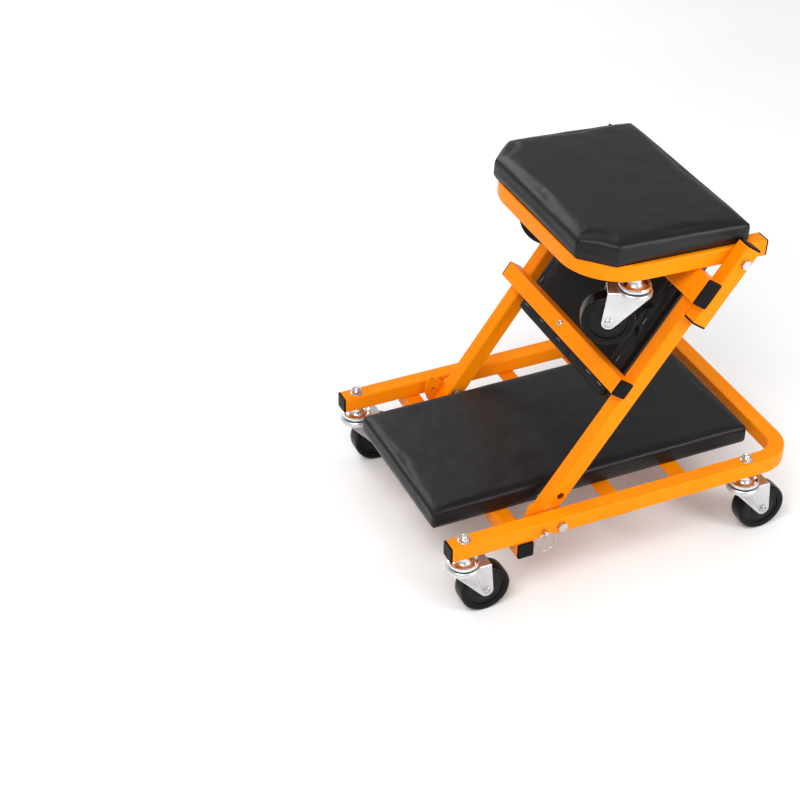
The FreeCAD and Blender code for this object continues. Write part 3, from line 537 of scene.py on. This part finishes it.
def inflate(work, pin_below, most):
    """Remesh and puff up as cloth, with the stapled lower edge held; the cover never sinks."""
    piece = scratch_object(work)
    remesh = piece.modifiers.new("remesh", "REMESH")
    remesh.mode = "VOXEL"
    remesh.voxel_size = VOXEL
    settle_modifiers(piece)
    start = [(vertex.co.copy(), vertex.normal.copy()) for vertex in piece.data.vertices]
    held = piece.vertex_groups.new(name="held")
    stapled = [index for index, (point, _) in enumerate(start) if point.z < pin_below]
    held.add(stapled, 1.0, "REPLACE")
    cloth = piece.modifiers.new("cloth", "CLOTH")
    cloth.settings.quality = 6
    cloth.settings.mass = 0.3
    cloth.settings.tension_stiffness = 12
    cloth.settings.compression_stiffness = 12
    cloth.settings.shear_stiffness = 6
    cloth.settings.bending_stiffness = 0.8
    cloth.settings.use_pressure = True
    cloth.settings.uniform_pressure_force = CLOTH_PRESSURE
    cloth.settings.effector_weights.gravity = 0
    cloth.settings.vertex_group_mass = "held"
    cloth.collision_settings.use_collision = False
    for number in range(1, CLOTH_FRAMES + 1):
        bpy.context.scene.frame_set(number)
    settle_modifiers(piece)
    bpy.context.scene.frame_set(1)
    for vertex, (before, outward) in zip(piece.data.vertices, start):
        move = vertex.co - before
        swell = move.dot(outward)
        slide = (move - outward * swell) * SLIDE_SHARE
        if slide.length > most * SLIDE_MOST:
            slide *= most * SLIDE_MOST / slide.length
        vertex.co = before + slide + outward * most * math.tanh(max(0.0, swell) / most)
    smooth = piece.modifiers.new("smooth", "SUBSURF")
    smooth.levels = 1
    smooth.render_levels = 1
    settle_modifiers(piece)
    result = bmesh.new()
    result.from_mesh(piece.data)
    bpy.data.objects.remove(piece)
    return result


def corner_amount(point, outline, reach):
    """1 at an outline corner, falling to 0 at the reach."""
    nearest = min(math.hypot(point.x - x, point.y - y) for x, y in outline)
    return max(0.0, 1.0 - nearest / reach)


def shape_pad(work, outline, low, high, crown, top, rise):
    """Crown the top, stuff the front fuller, pull the corners down and lay in soft pull lines."""
    middle = Vector(((low.x + high.x) / 2, 0, 0))
    half_x = (high.x - low.x) / 2
    half_y = (high.y - low.y) / 2
    for vertex in work.verts:
        point = vertex.co
        lift = max(0.0, min(1.0, (point.z - top * 0.45) / (top * 0.5)))
        across = max(0.0, 1 - abs((point.x - middle.x) / half_x) ** 2.6)
        along = max(0.0, 1 - abs(point.y / half_y) ** 2.6)
        near = corner_amount(point, outline, CORNER_REACH)
        wave = noise.noise(point * 26.0) * 0.7 + noise.noise(point * 60.0) * 0.3
        forward = max(0.0, min(1.0, (high.x - point.x) / (high.x - low.x)))
        rolled = max(0.0, 1 - (point.x - low.x) / FRONT_ROLL) ** 2
        fuller = rise * (forward - 0.75 * rolled)
        swollen = crown * across * along - CORNER_PINCH * near ** 2
        point.z += lift * (swollen + fuller + PULL_LINES * wave)
        squeeze = math.sin(math.pi * max(0.0, min(1.0, point.z / top)))
        inward = (middle - point).to_2d().normalized() * squeeze * 0.5 * MM * wave
        point.x += inward.x
        point.y += inward.y
    return work


def keep_inside(work, low, high, proud):
    """No point stands further out of the CAD pad than the cover may."""
    for vertex in work.verts:
        vertex.co.x = max(low.x - proud, min(high.x + proud, vertex.co.x))
        vertex.co.y = max(low.y - proud, min(high.y + proud, vertex.co.y))
        vertex.co.z = max(COVER_BOTTOM, min(high.z + proud, vertex.co.z))


def seam_line(tree, corner, centre, bottom, top, reach):
    """Points on the cover up one corner, from the board's edge over the rim."""
    points = []
    post = Vector((corner[0], corner[1], 0))
    outward = (post - centre).normalized()
    upward = Vector((0, 0, 1))
    for step in range(SEAM_STEPS + 1):
        share = step / SEAM_STEPS
        if share < SEAM_UPRIGHT:
            climb = (top - bottom - SEAM_STRAIGHT_STOP) * share / SEAM_UPRIGHT
            start = post + upward * (bottom + climb) + outward * 30 * MM
            direction = -outward
        else:
            over = (share - SEAM_UPRIGHT) / (1 - SEAM_UPRIGHT)
            lean = over * math.radians(SEAM_LEAN_DEG)
            aim = post + upward * (top - SEAM_RIM) - outward * SEAM_RIM * over
            direction = -(outward * math.cos(lean) + upward * math.sin(lean))
            start = aim - direction * 40 * MM
        hit = tree.ray_cast(start, direction, 80 * MM)
        if hit[0] is not None:
            points.append(hit[0] + hit[1] * reach)
    return points


def cord_mesh(points, radius, sides=8, ripple=0.0, ripple_step=2.0 * MM):
    """A thin round welt or bead along points, closed at both ends."""
    work = bmesh.new()
    rings = []
    travelled = 0.0
    for index, point in enumerate(points):
        ahead = points[min(index + 1, len(points) - 1)]
        behind = points[max(index - 1, 0)]
        along = (ahead - behind).normalized()
        side = along.orthogonal().normalized()
        up = along.cross(side)
        if index:
            travelled += (point - points[index - 1]).length
        size = radius * (1 + ripple * math.sin(2 * math.pi * travelled / ripple_step))
        if index in (0, len(points) - 1):
            size = size * CORD_END
        ring = []
        for step in range(sides):
            angle = 2 * math.pi * step / sides
            outward = side * math.cos(angle) + up * math.sin(angle)
            ring.append(work.verts.new(point + outward * size))
        rings.append(ring)
    for first, second in zip(rings, rings[1:]):
        first_start = min(range(sides), key=lambda shift: (first[0].co - second[shift].co).length)
        for step in range(sides):
            after = (step + 1) % sides
            work.faces.new((
                first[step], first[after],
                second[(after + first_start) % sides], second[(step + first_start) % sides],
            ))
    work.faces.new(rings[0])
    work.faces.new(rings[-1])
    return work


def make_pad(body, place, chamfer, edge_round, crown, swell, fold, proud, rise):
    """One pad: swollen vinyl cover, seams up its corners, and a black backing sheet with a stapled flap.

    The chamfer cuts two corners, the crown lifts the middle, the swell is the most that the cover
    puffs up, the fold is how deep the flap gathers, proud is how far the cover may stand out of
    the CAD pad, and the rise is how much fuller the front is stuffed.
    """
    name = body + "_pad"
    cushion_node = body + "_cushion"
    board_node = body + "_pad_board"
    low, high = local_box(cushion_node, place)
    board_low = local_box(board_node, place)[0]
    top = high.z - board_low.z
    outline = outline_points(low, high, swell * 0.2, chamfer)
    work = stuffed_block(outline, COVER_BOTTOM, top - BLOCK_BELOW_TOP, edge_round)
    work = inflate(work, HELD_BELOW, swell)
    work = shape_pad(work, outline, low, high, crown, top, rise)
    keep_inside(work, low, high, proud)
    tree = BVHTree.FromBMesh(work)
    cover = add_piece(name, work, VINYL, place, body, "black_vinyl", cushion_node, board_node)
    cover.data.polygons.foreach_set("use_smooth", [True] * len(cover.data.polygons))

    centre = Vector(((low.x + high.x) / 2, 0, 0))
    for number, corner in enumerate(outline):
        points = seam_line(tree, corner, centre, SEAM_BOTTOM, top - crown, SEAM_PROUD)
        if len(points) > 6:
            seam_name = name + "_seam_" + str(number + 1)
            add_piece(seam_name, cord_mesh(points, SEAM_RADIUS), VINYL, place, body, "black_vinyl")
    make_back(name, body, place, low, high, chamfer, fold)


def make_back(name, body, place, low, high, chamfer, fold):
    """The pad's underside: a black backing sheet, and the cover's edge turned in over it."""
    sheet_outline = outline_points(low, high, BACKING_INSET, chamfer)
    sheet = prism(sheet_outline, BACK_LEVEL, COVER_BOTTOM + 1 * MM)
    add_piece(name + "_backing", sheet, BACKING, place, body, "black_vinyl")

    outer = outline_points(low, high, FLAP_INSET, chamfer)
    inner = outline_points(low, high, FLAP_INNER_INSET, chamfer)
    count = len(outer)
    work = bmesh.new()
    for side in range(count):
        after = (side + 1) % count
        start_out = Vector((*outer[side], 0))
        end_out = Vector((*outer[after], 0))
        start_in = Vector((*inner[side], 0))
        end_in = Vector((*inner[after], 0))
        columns = max(6, int((end_out - start_out).length / FLAP_STEP))
        grid = []
        for column in range(columns + 1):
            share = column / columns
            from_point = start_out.lerp(end_out, share)
            to_point = start_in.lerp(end_in, share)
            wander = noise.noise(from_point * 24.0 + Vector((0, 0, side))) * 0.2
            line = []
            for row in range(FLAP_ROWS + 1):
                depth = row / FLAP_ROWS
                point = from_point.lerp(to_point, depth * (1 + wander * depth))
                ripple = noise.noise(Vector((point.x * 55, point.y * 55, side * 3.7)))
                gather = abs(math.sin(2 * math.pi * depth)) ** 1.5
                point.z = BACK_LEVEL - fold * gather * max(0.0, 0.35 + ripple)
                line.append(point)
            grid.append(line)
        lay_sheet(work, grid, FLAP_THICKNESS)
    add_piece(name + "_flap", work, VINYL, place, body, "black_vinyl")


def lay_sheet(work, grid, thickness):
    """Add a closed sheet whose underside follows a grid of points."""
    up = Vector((0, 0, thickness))
    under = [[work.verts.new(point) for point in line] for line in grid]
    over = [[work.verts.new(point + up) for point in line] for line in grid]
    last_column = len(grid) - 1
    last_row = len(grid[0]) - 1
    for column in range(last_column):
        for row in range(last_row):
            work.faces.new((under[column][row], under[column][row + 1],
                            under[column + 1][row + 1], under[column + 1][row]))
            work.faces.new((over[column][row], over[column + 1][row],
                            over[column + 1][row + 1], over[column][row + 1]))
        for row in (0, last_row):
            work.faces.new((under[column][row], under[column + 1][row],
                            over[column + 1][row], over[column][row]))
    for row in range(last_row):
        for column in (0, last_column):
            work.faces.new((under[column][row], under[column][row + 1],
                            over[column][row + 1], over[column][row]))


# ---------------------------------------------------------------- screws and welds
def solids_of(node, place, axes=(0, 1), reach=6 * MM):
    """The local boxes of a node's separate solids, told apart by the gaps along some axes."""
    turn_back = place.inverted()
    boxes = []
    for vertex in frame["nodes"][node].data.vertices:
        point = turn_back @ vertex.co
        for low, high in boxes:
            if all(low[axis] - reach <= point[axis] <= high[axis] + reach for axis in axes):
                for axis in range(3):
                    low[axis] = min(low[axis], point[axis])
                    high[axis] = max(high[axis], point[axis])
                break
        else:
            boxes.append((point.copy(), point.copy()))
    return boxes


def screw_mesh(length):
    """A pan-head screw with a cross recess, its head's underside at z = 0 and its shank below."""
    profile = [(0, -length), (1.4, -length + 1.5), (2.1, -length + 3.0), (2.1, 0), (4.6, 0),
               (4.7, 0.7), (4.2, 1.5), (3.0, 2.2), (1.5, 2.45), (0, 2.5)]
    work = lathe(millimetres(profile), 32)
    cuts = []
    for across, along in ((0.55, 2.7), (2.7, 0.55)):
        slot = [(-across, -along), (across, -along), (across, along), (-across, along)]
        cuts.append(("DIFFERENCE", prism(millimetres(slot), 1.1 * MM, 4 * MM)))
    return combine(work, cuts)


def make_screws():
    """The screws that hold the pads: heads under the slats, and on the link's crossbars."""
    upward = Matrix.Rotation(math.pi, 4, "X")
    for node, body, place, turn in (
        ("base_pad_screws", "base", BASE_PLACE, upward),
        ("seat_pad_screws", "seat", SEAT_PLACE, upward),
        ("link_pad_screws", "link", LINK_PLACE, Matrix.Identity(4)),
    ):
        heads = []
        for low, high in solids_of(node, place):
            middle = (low + high) / 2
            if node == "link_pad_screws":
                middle.z = high.z - SCREW_HEAD
            else:
                middle.z = low.z + SCREW_HEAD
            head = screw_mesh((high.z - low.z - SCREW_HEAD) / MM)
            spin = Matrix.Rotation(37.0 * (low.x + low.y) / MM, 4, "Z")
            head.transform(Matrix.Translation(middle) @ turn @ spin)
            heads.append(head)
        name = node.replace("_pad", "")
        add_piece(name, joined(heads), BOLT_ZINC, place, body, "zinc_steel", node)


def bead(start, end, radius=BEAD_RADIUS):
    """A weld bead between two points, with its row of ripples."""
    steps = max(4, int((Vector(end) - Vector(start)).length / BEAD_STEP))
    points = [Vector(start).lerp(Vector(end), step / steps) for step in range(steps + 1)]
    return cord_mesh(points, radius, 8, BEAD_RIPPLE, BEAD_RIPPLE_STEP)


def make_welds():
    """Weld beads where tubes and bars meet, painted over."""
    rail_high = local_box("base_frame", BASE_PLACE)[1]
    stop_low, stop_high = local_box("stop_crossbar", BASE_PLACE)
    arm_low, arm_high = local_box("arm_right", LINK_PLACE)
    lower_low, lower_high = local_box("lower_crossbar", LINK_PLACE)
    upper_low, upper_high = local_box("upper_crossbar", LINK_PLACE)
    sleeve_low, sleeve_high = local_box("hinge_sleeve_right", LINK_PLACE)
    inset = 2.5 * MM
    base_beads = []
    link_beads = []
    for side in (-1, 1):
        rail_from = side * (rail_high.y - inset)
        rail_to = side * (rail_high.y - 2 * HALF_TUBE + inset)
        for x in (stop_low.x, stop_high.x):
            base_beads.append(bead((x, rail_from, stop_high.z), (x, rail_to, stop_high.z)))
        arm_from = side * (-arm_low.y - inset)
        arm_to = side * (-arm_high.y + inset)
        for x in (lower_low.x, lower_high.x, upper_low.x):
            link_beads.append(bead((x, arm_from, HALF_TUBE), (x, arm_to, HALF_TUBE)))
        sleeve_y = side * -arm_low.y
        for z in (-HALF_TUBE, HALF_TUBE):
            start = (sleeve_low.x + inset, sleeve_y, z)
            end = (arm_high.x - inset, sleeve_y, z)
            link_beads.append(bead(start, end, SLEEVE_BEAD_RADIUS))
        sleeve_from = side * (-sleeve_low.y - inset)
        sleeve_to = side * (-sleeve_high.y + inset)
        for x in (upper_low.x, upper_high.x):
            link_beads.append(bead((x, sleeve_from, HALF_TUBE), (x, sleeve_to, HALF_TUBE)))
    for low, high in solids_of("base_pad_slats", BASE_PLACE, (0,), 40 * MM):
        for side in (-1, 1):
            for x in (low.x, high.x):
                start = (x, side * (high.y - inset), high.z)
                end = (x, side * (rail_high.y - 2 * HALF_TUBE + inset), high.z)
                base_beads.append(bead(start, end, SLAT_BEAD_RADIUS))
    add_piece("base_welds", joined(base_beads), ORANGE, BASE_PLACE, "base", "orange_powder_coat")
    add_piece("link_welds", joined(link_beads), ORANGE, LINK_PLACE, "link", "orange_powder_coat")


# ---------------------------------------------------------------- casters
STEM_AT = Vector(JOINTS["swivel_mid_right"]["pos_m"])
AXLE_AT = Vector(JOINTS["wheel_mid_right"]["pos_m"])
TRAIL = AXLE_AT.x - STEM_AT.x
AXLE_DROP = STEM_AT.z - AXLE_AT.z
WHEEL_RADIUS = AXLE_AT.z
WHEEL_HALF = (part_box("wheel_mid_right")[1].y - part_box("wheel_mid_right")[0].y) / 2
RAIL_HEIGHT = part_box("base_frame")[1].z - STEM_AT.z
# the casters' own shapes are written in millimetres, and millimetres() turns them into metres
STEM_ABOVE = (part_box("base_caster_races")[1].z - STEM_AT.z) / MM
SEAT_STEM_ABOVE = 9.5
FORK_HALF = 16.2
FORK_SHEET = 2.2
FORK_TOP = -18.0


def caster_place(swivel, wheel, mirror):
    """The caster's own frame: stem on Z, wheel trailing along X; left ones are mirrored."""
    origin = Vector(JOINTS[swivel]["pos_m"])
    up = Vector(JOINTS[swivel]["axis"]).normalized()
    reach = Vector(JOINTS[wheel]["pos_m"]) - origin
    trail = (reach - up * reach.dot(up)).normalized()
    side = up.cross(trail)
    place = Matrix((trail, side, up)).transposed().to_4x4()
    place.translation = origin
    if mirror:
        place = place @ Matrix.Scale(-1, 4, Vector((0, 1, 0)))
    return place


def eye_tangent(outside, eye, radius, turn):
    """The angle, in degrees, at which an edge from a point outside touches the round eye."""
    away_x = outside[0] - eye[0]
    away_z = outside[1] - eye[1]
    opening = math.acos(radius / math.hypot(away_x, away_z))
    return math.degrees(math.atan2(away_z, away_x) + turn * opening)


def fork_mesh():
    """Pressed steel fork: a domed top with a rolled lip, and two tapering cheeks bent down."""
    inner = FORK_HALF - FORK_SHEET
    open_end = -90.0
    bend = 2.6
    inside = bend - 1.6
    section = arc((FORK_HALF - bend, FORK_TOP - bend), bend, 0, 90, 5)
    section += [(-x, z) for x, z in section[::-1]]
    section = [(FORK_HALF, open_end)] + section + [(-FORK_HALF, open_end), (-inner, open_end)]
    hollow = arc((inner - inside, FORK_TOP - FORK_SHEET - inside), inside, 0, 90, 3)
    section += [(-x, z) for x, z in hollow] + hollow[::-1] + [(inner, open_end)]
    channel = prism(millimetres(section), -21 * MM, 42 * MM, "yzx")

    eye = (TRAIL / MM, -AXLE_DROP / MM)
    radius = 9.8
    heel = (-17.5, -25.2)
    nose = (36.8, -20.2)
    front = eye_tangent(nose, eye, radius, -1)
    back = eye_tangent(heel, eye, radius, 1) - 360
    cheek = [(heel[0], -17.0), (35.2, -17.0), (36.4, -17.9), nose]
    cheek += arc(eye, radius, front, back, 16)
    cheek += [heel]
    cheeks = prism(millimetres(cheek), -20 * MM, 20 * MM, "xzy")
    work = combine(channel, [("INTERSECT", cheeks)])

    dome = [
        (8.2, -18.6), (9.5, -17.6), (14.0, -17.4), (17.0, -18.8), (20.0, -18.6), (21.6, -17.2),
        (23.2, -17.2), (24.4, -18.4), (24.9, -20.6), (24.7, -24.2), (23.9, -25.0), (23.0, -24.4),
        (22.8, -21.4), (21.0, -20.6), (8.2, -20.6),
    ]
    work = combine(work, [("UNION", lathe(millimetres(dome), 64))])
    bore = lathe(millimetres([(0, -10), (8.15, -10), (8.15, -30), (0, -30)]), 48)
    work = combine(work, [("DIFFERENCE", bore)])
    return soften(work, 0.55 * MM, 2, 34)


def cheek_rib_mesh():
    """Two narrow pressed ridges that run down a cheek towards its eye."""
    low = (FORK_HALF - 0.8) * MM
    high = (FORK_HALF + 0.45) * MM
    ridges = []
    for top_x, bottom_x in ((4.5, 17.5), (13.5, 22.5)):
        outline = [(top_x, -25.5), (top_x + 2.6, -25.5), (bottom_x + 2.2, -53.0), (bottom_x, -53.0)]
        ridges.append(soften(prism(millimetres(outline), low, high, "xzy"), 0.9 * MM, 3, 20))
    return joined(ridges)


def race_mesh(stem_top):
    """The fixed race: stem, shoulder, dished cup with a rolled rim, and the riveted boss."""
    profile = [
        (0, stem_top - 0.7), (2.0, stem_top - 0.7), (2.5, stem_top), (4.3, stem_top),
        (4.95, stem_top - 0.7), (4.95, -0.05), (8.6, -0.05), (8.8, -3.6), (9.6, -6.6), (11.2, -9.4),
        (13.6, -11.4), (16.4, -11.6), (18.6, -10.0), (20.4, -8.9), (21.8, -9.3), (22.6, -10.8),
        (22.7, -13.4), (21.6, -15.4), (20.4, -16.2), (19.0, -16.9), (7.9, -16.9), (7.9, -20.9),
        (10.6, -20.9), (10.2, -22.4), (8.6, -23.2), (0, -23.2),
    ]
    return lathe(millimetres(profile), 72)


def caster_nut_mesh():
    """A flange nut with its hex corners chamfered off, standing on z = 0 round the stem."""
    body = prism(millimetres(arc((0, 0), 8.1, 0, 300, 5)), 0.6 * MM, 6.4 * MM)
    crown = [(0, 0.4), (7.4, 0.4), (8.2, 1.0), (8.2, 5.2), (7.0, 6.4), (0, 6.4)]
    body = combine(body, [("INTERSECT", lathe(millimetres(crown), 48))])
    flange = [(0, 0.0), (9.4, 0.0), (9.5, 0.6), (8.6, 1.3), (7.0, 1.7), (0, 1.7)]
    body = combine(body, [("UNION", lathe(millimetres(flange), 48))])
    bore = lathe(millimetres([(0, -1), (5.0, -1), (5.0, 5.4), (5.6, 7.0), (0, 7.0)]), 48)
    return combine(body, [("DIFFERENCE", bore)])


def stem_nut_mesh():
    """The hex collar under the frame that the race is pressed on."""
    corners = arc((0, 0), 8.6, 0, 300, 5)
    work = prism(millimetres(corners), -5.4 * MM, -0.1 * MM)
    return soften(work, 0.5 * MM, 2, 20)


def wheel_mesh(part):
    """The wheel's rim, or its hub and web; Z is the axle. Sizes are shares of the wheel's."""
    scale = WHEEL_RADIUS / MM
    half = WHEEL_HALF / MM
    if part == "rim":
        side = [
            (0.690, 0.86), (0.700, 0.955), (0.715, 0.975), (0.796, 0.985), (0.806, 0.955),
            (0.820, 0.955), (0.830, 0.990), (0.880, 1.0), (0.925, 0.995), (0.955, 0.96),
            (0.978, 0.87), (0.992, 0.68), (0.998, 0.36),
        ]
    else:
        side = [
            (0.112, 1.11), (0.186, 1.11), (0.208, 1.08), (0.222, 1.00), (0.236, 0.94),
            (0.256, 0.905), (0.360, 0.885), (0.375, 0.91), (0.400, 0.91), (0.415, 0.88),
            (0.560, 0.87), (0.600, 0.875), (0.618, 0.91), (0.650, 0.91), (0.668, 0.88),
            (0.698, 0.87),
        ]
    profile = [(radius * scale, width * half) for radius, width in side]
    other = [(radius, -z) for radius, z in profile[::-1]]
    return lathe(millimetres(profile + other), 96)


def axle_head_mesh(domed):
    """The riveted axle end, domed or with a peened ring, and a nut on the other side."""
    out = FORK_HALF
    if domed:
        head = [
            (0, out), (6.4, out), (6.6, out + 0.9), (5.8, out + 1.9), (4.0, out + 2.5),
            (0, out + 2.7),
        ]
    else:
        head = [
            (0, out), (5.4, out), (5.6, out + 0.9), (5.0, out + 1.5), (4.1, out + 1.3),
            (3.7, out + 0.2), (2.9, out + 0.2), (2.6, out + 1.3), (1.6, out + 1.8), (0, out + 1.9),
        ]
    work = lathe(millimetres(head), 40)
    hexagon = millimetres(arc((0, 0), 6.2, 0, 300, 5))
    nut = soften(prism(hexagon, -(out + 4.3) * MM, -out * MM), 0.5 * MM, 2, 20)
    shank = [
        (0, -out - 5.0), (3.9, -out - 5.0), (4.0, -out - 4.6), (4.0, out + 0.1), (0, out + 0.1),
    ]
    return joined([work, nut, lathe(millimetres(shank), 32)])


def make_casters():
    """Six casters in full detail over their CAD nodes."""
    to_axle = Matrix.Translation((TRAIL, 0, -AXLE_DROP))
    turn_axle = to_axle @ Matrix.Rotation(math.radians(90), 4, "X")
    turn_over = Matrix.Rotation(math.pi, 4, "X")
    for spot, body in (("mid", "base"), ("rear", "base"), ("seat", "seat")):
        on_seat = spot == "seat"
        for side in ("right", "left"):
            tail = spot + "_" + side
            swivel = "swivel_" + tail
            roller = "roller_" + tail
            place = caster_place(swivel, "wheel_" + tail, side == "left")
            wheel_place = place @ turn_axle
            axle_place = wheel_place @ turn_over if on_seat else wheel_place
            stem_top = SEAT_STEM_ABOVE if on_seat else STEM_ABOVE
            add_piece("caster_fork_" + tail, fork_mesh(), SATIN_ZINC, place, swivel,
                      "zinc_steel", "fork_" + tail)
            add_piece("caster_axle_" + tail, axle_head_mesh(on_seat), BOLT_ZINC, axle_place, swivel,
                      "zinc_steel", "axle_" + tail)
            add_piece("caster_rim_" + tail, wheel_mesh("rim"), TREAD_PLASTIC, wheel_place, roller,
                      "wheel_plastic", "wheel_" + tail)
            add_piece("caster_hub_" + tail, wheel_mesh("hub"), HUB_PLASTIC, wheel_place, roller,
                      "wheel_plastic")
            race = joined([race_mesh(stem_top), stem_nut_mesh()])
            add_piece("caster_race_" + tail, race, BRIGHT_ZINC, place, body,
                      "zinc_steel", body + "_caster_races")
            if on_seat:
                continue
            ribs = joined([cheek_rib_mesh(), mirror_y(cheek_rib_mesh())])
            add_piece("caster_rib_" + tail, ribs, SATIN_ZINC, place, swivel, "zinc_steel")
            on_rail = place @ Matrix.Translation((0, 0, RAIL_HEIGHT))
            add_piece("caster_nut_" + tail, caster_nut_mesh(), BOLT_ZINC, on_rail, body,
                      "zinc_steel", "base_caster_nuts")


# ---------------------------------------------------------------- carried-over CAD nodes
def dress_nodes():
    """Give every CAD node that stays its own procedural material."""
    looks = {
        "orange_powder_coat": ORANGE, "black_plastic": CAP_PLASTIC, "plywood": PLYWOOD,
        "black_vinyl": VINYL, "zinc_steel": BOLT_ZINC, "spring_steel": WIRE,
        "wheel_plastic": TREAD_PLASTIC,
    }
    for entry in frame["record"]["subparts"]:
        node = frame["nodes"][entry["node"]]
        node.data.materials.clear()
        node.data.materials.append(looks[entry["material_slot"]])


# ---------------------------------------------------------------- studio
def make_studio():
    """Pale floor, soft lights, and the camera."""
    work = bmesh.new()
    bmesh.ops.create_grid(work, x_segments=2, y_segments=2, size=FLOOR_HALF)
    floor = new_object("studio_floor", mesh_from(work), floor_paper())

    world = bpy.data.worlds.new("studio")
    bpy.context.scene.world = world
    world.use_nodes = True
    world.node_tree.nodes["Background"].inputs["Color"].default_value = (1.0, 1.0, 1.0, 1)
    world.node_tree.nodes["Background"].inputs["Strength"].default_value = WORLD_LIGHT

    for name, at, width, power in SOFT_BOXES:
        add_light(name, at, width, power)

    camera = bpy.data.cameras.new("camera")
    camera.lens = CAMERA_LENS
    camera.sensor_width = 36.0
    holder = bpy.data.objects.new("camera", camera)
    bpy.context.scene.collection.objects.link(holder)
    forward = Vector((
        -math.sin(CAMERA_YAW) * math.cos(CAMERA_PITCH),
        math.cos(CAMERA_YAW) * math.cos(CAMERA_PITCH),
        math.sin(CAMERA_PITCH),
    ))
    right = Vector((math.cos(CAMERA_YAW), math.sin(CAMERA_YAW), 0))
    up = right.cross(forward)
    rolled_right = right * math.cos(CAMERA_ROLL) + up * math.sin(CAMERA_ROLL)
    rolled_up = up * math.cos(CAMERA_ROLL) - right * math.sin(CAMERA_ROLL)
    facing = Matrix((rolled_right, rolled_up, -forward)).transposed().to_4x4()
    facing.translation = CAMERA_AT
    holder.matrix_world = facing
    bpy.context.scene.camera = holder
    bpy.context.scene.view_settings.view_transform = "Standard"


def add_light(name, at, size, power):
    """A square soft box aimed at the middle of the object."""
    light = bpy.data.lights.new(name, "AREA")
    light.size = size
    light.energy = power
    holder = bpy.data.objects.new(name, light)
    bpy.context.scene.collection.objects.link(holder)
    target = (Vector(CAD_BOUNDS[0]) + Vector(CAD_BOUNDS[1])) / 2
    holder.visible_camera = False
    holder.location = at
    holder.rotation_euler = (target - Vector(at)).to_track_quat("-Z", "Y").to_euler()


# ---------------------------------------------------------------- the creeper
dress_nodes()
on_tube = Matrix.Translation((0, 0, HALF_TUBE))
make_pad(
    "base", Matrix.Translation((0, 0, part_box("base_pad_board")[0].z)),
    chamfer=0.0, edge_round=6 * MM, crown=0.6 * MM, swell=1.5 * MM, fold=0.4 * MM,
    proud=1.5 * MM, rise=0.0,
)
make_pad(
    "link", LINK_PLACE @ on_tube @ Matrix.Rotation(math.pi, 4, "X"),
    chamfer=0.0, edge_round=8 * MM, crown=1.0 * MM, swell=2.5 * MM, fold=1.2 * MM,
    proud=2.5 * MM, rise=0.0,
)
make_pad(
    "seat", SEAT_PLACE @ on_tube,
    chamfer=41.0 * MM, edge_round=7 * MM, crown=1.5 * MM, swell=3.5 * MM, fold=0.4 * MM,
    proud=6.5 * MM, rise=5.0 * MM,
)
make_casters()
make_screws()
make_welds()
make_studio()
